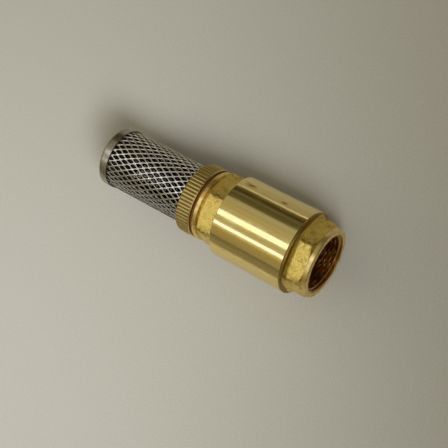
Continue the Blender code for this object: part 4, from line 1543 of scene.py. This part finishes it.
@dataclass(frozen=True)
class Strip:
    """A long soft light that hangs parallel to the valve."""

    name: str
    lean: float
    strength: float
    distance: float = 0.50
    width: float = 0.115
    length: float = 0.80
    station: float = -0.06
    tone: Colour = (0.62, 0.71, 1.0)

    def build(self) -> bpy.types.Object:
        """Hang the light, leaning towards -Y by its angle in degrees."""
        data = bpy.data.lights.new(self.name, "AREA")
        data.shape = "RECTANGLE"
        data.size = self.length
        data.size_y = self.width
        data.energy = self.strength * self.length * self.width * math.pi
        data.color = self.tone
        lamp = bpy.data.objects.new(self.name, data)
        lamp.visible_diffuse = False
        lean = math.radians(self.lean)
        height = AXIS_HEIGHT * MM + self.distance * math.cos(lean)
        lamp.location = (self.station, -self.distance * math.sin(lean), height)
        lamp.rotation_euler = (-lean, 0.0, 0.0)
        bpy.context.scene.collection.objects.link(lamp)
        return lamp


@dataclass(frozen=True)
class Lamp:
    """A soft square light that shines on one spot."""

    name: str
    place: tuple[float, float, float]
    target: tuple[float, float, float]
    size: float
    power: float
    spread: float = 180.0
    tone: Colour = (0.96, 1.0, 0.96)
    in_metal: bool = True

    def build(self) -> bpy.types.Object:
        """Hang the light."""
        data = bpy.data.lights.new(self.name, "AREA")
        data.size = self.size
        data.energy = self.power
        data.color = self.tone
        data.spread = math.radians(self.spread)
        lamp = bpy.data.objects.new(self.name, data)
        lamp.location = self.place
        aim = Vector(self.target) - Vector(self.place)
        lamp.rotation_euler = aim.to_track_quat("-Z", "Y").to_euler()
        lamp.visible_glossy = self.in_metal
        bpy.context.scene.collection.objects.link(lamp)
        return lamp


@dataclass(frozen=True)
class Band:
    """A stretch of the room's wall and ceiling, by its angle from straight up towards +Y."""

    angle: float
    tone: Colour


@dataclass(frozen=True)
class Studio:
    """The floor, the lights, the room that the metal reflects, and the camera."""

    floor_size: float = 6.0
    floor_sides: int = 96
    room: tuple[Band, ...] = (
        Band(-100.0, (0.34, 0.33, 0.27)),
        Band(-92.0, (0.30, 0.29, 0.23)),
        Band(-86.0, (0.23, 0.21, 0.155)),
        Band(-76.0, (0.21, 0.20, 0.145)),
        Band(-69.0, (0.13, 0.115, 0.06)),
        Band(-64.0, (0.30, 0.28, 0.22)),
        Band(-55.0, (0.31, 0.27, 0.15)),
        Band(-44.0, (0.34, 0.30, 0.16)),
        Band(-37.0, (0.60, 0.56, 0.40)),
        Band(-20.0, (0.44, 0.41, 0.28)),
        Band(12.0, (0.42, 0.40, 0.27)),
        Band(20.0, (0.44, 0.40, 0.28)),
        Band(30.0, (0.35, 0.33, 0.23)),
        Band(46.0, (0.38, 0.37, 0.32)),
        Band(49.0, (0.10, 0.09, 0.05)),
        Band(62.0, (0.08, 0.075, 0.045)),
        Band(68.0, (0.14, 0.13, 0.10)),
        Band(73.0, (0.05, 0.04, 0.018)),
        Band(79.0, (0.045, 0.035, 0.012)),
        Band(85.0, (0.11, 0.09, 0.045)),
        Band(100.0, (0.12, 0.10, 0.05)),
    )
    backdrop: Colour = (0.46, 0.45, 0.40)
    outlet_tone: Colour = (0.05, 0.04, 0.025)
    outlet_shade: float = 0.62
    strips: tuple[Strip, ...] = (Strip("overhead_strip", 1.5, 1.8), Strip("side_strip", 30.0, 2.25))
    lamps: tuple[Lamp, ...] = (
        Lamp("key_lamp", (0.40, -0.20, 0.60), (-0.90, -0.21, 0.0), 0.35, 2.6, 90.0, in_metal=False),
        Lamp("far_floor_lamp", (0.0, 1.4, 0.9), (0.0, 1.5, 0.0), 0.6, 20.0, 120.0, in_metal=False),
    )
    camera_place: tuple[float, float, float] = (0.2195, 0.0426, 0.4838)
    camera_right: tuple[float, float, float] = (0.8035, 0.4281, -0.4139)
    camera_up: tuple[float, float, float] = (-0.4272, 0.8986, 0.1003)
    camera_forward: tuple[float, float, float] = (-0.4147, -0.0962, -0.9048)
    lens: float = 75.2
    sensor: float = 36.0

    def _floor(self) -> bpy.types.Object:
        """Make the round table top that the valve lies on."""
        shape = bmesh.new()
        bmesh.ops.create_circle(shape, cap_ends=True, segments=self.floor_sides, radius=self.floor_size)
        mesh = bpy.data.meshes.new("table_top")
        shape.to_mesh(mesh)
        shape.free()
        mesh.materials.append(PaleFloor("pale_table").material())
        top = bpy.data.objects.new("table_top", mesh)
        bpy.context.scene.collection.objects.link(top)
        return top

    def _room(self) -> None:
        """Make the room: bands of tone over the valve, and a plain backdrop behind it."""
        world = bpy.data.worlds.new("room")
        world.use_nodes = True
        bpy.context.scene.world = world
        graph = Graph(world.node_tree)
        direction = graph.node("ShaderNodeTexCoord").outputs["Generated"]
        parts = graph.node("ShaderNodeSeparateXYZ", feeds={0: direction}).outputs
        over = Value(graph, parts[1]).math("ARCTAN2", Value(graph, parts[2])) * (180.0 / math.pi)
        low, high = self.room[0].angle, self.room[-1].angle
        stops = [((band.angle - low) / (high - low), band.tone) for band in self.room]
        share = (over - low) / (high - low)
        tone = graph.node("ShaderNodeValToRGB", {"stops": stops}, {0: share}).outputs[0]
        outlet_side = Value(graph, parts[0]).step(0.1, 0.75) * self.outlet_shade
        tone = graph.blend(outlet_side, tone, self.outlet_tone)
        seen = graph.node("ShaderNodeLightPath").outputs["Is Camera Ray"]
        tone = graph.blend(seen, tone, self.backdrop)
        light = graph.node("ShaderNodeBackground", feeds={"Color": tone})
        graph.node("ShaderNodeOutputWorld", feeds={"Surface": light.outputs[0]})

    def _camera(self) -> bpy.types.Object:
        """Make the camera."""
        data = bpy.data.cameras.new("camera")
        data.sensor_width = self.sensor
        data.lens = self.lens
        data.clip_start, data.clip_end = 0.01, 20.0
        camera = bpy.data.objects.new("camera", data)
        back = -Vector(self.camera_forward)
        turn = Matrix((self.camera_right, self.camera_up, back)).transposed().to_4x4()
        camera.matrix_world = Matrix.Translation(self.camera_place) @ turn
        bpy.context.scene.collection.objects.link(camera)
        bpy.context.scene.camera = camera
        return camera

    def build(self) -> None:
        """Set the studio up."""
        bpy.context.scene.view_settings.view_transform = "Standard"
        self._floor()
        self._room()
        for light in (*self.strips, *self.lamps):
            light.build()
        self._camera()


def guides(finishes: Finishes) -> list[Guide]:
    """Give the two guides, which differ in their sizes."""
    return [
        Guide(
            finishes,
            name="inlet_spider",
            node="inlet_guide",
            ring_name="inlet_circlip",
            ring_node="inlet_snap_ring",
            outer=14.04,
            inner=12.54,
            ring_start=9.3,
            hub_start=4.0,
            hub_end=11.8,
            ring_groove=7.9,
        ),
        Guide(
            finishes,
            name="outlet_spider",
            node="outlet_guide",
            ring_name="outlet_circlip",
            ring_node="outlet_snap_ring",
            outer=16.69,
            inner=13.64,
            ring_start=49.5,
            hub_start=35.2,
            hub_end=52.5,
            ring_groove=48.1,
        ),
    ]


def main() -> None:
    """Build the valve and the studio."""
    logging.basicConfig(level=logging.INFO, format="%(name)s: %(message)s")
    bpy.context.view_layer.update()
    finishes = Finishes()
    for assembly in (
        ValveShell(finishes),
        OutletEnd(finishes),
        Collar(finishes),
        StrainerMesh(finishes),
        EndCup(finishes),
        *guides(finishes),
        Poppet(finishes),
        Spring(finishes),
        SealRing(finishes),
    ):
        assembly.build()
    Studio().build()


if __name__ == "__main__":
    main()
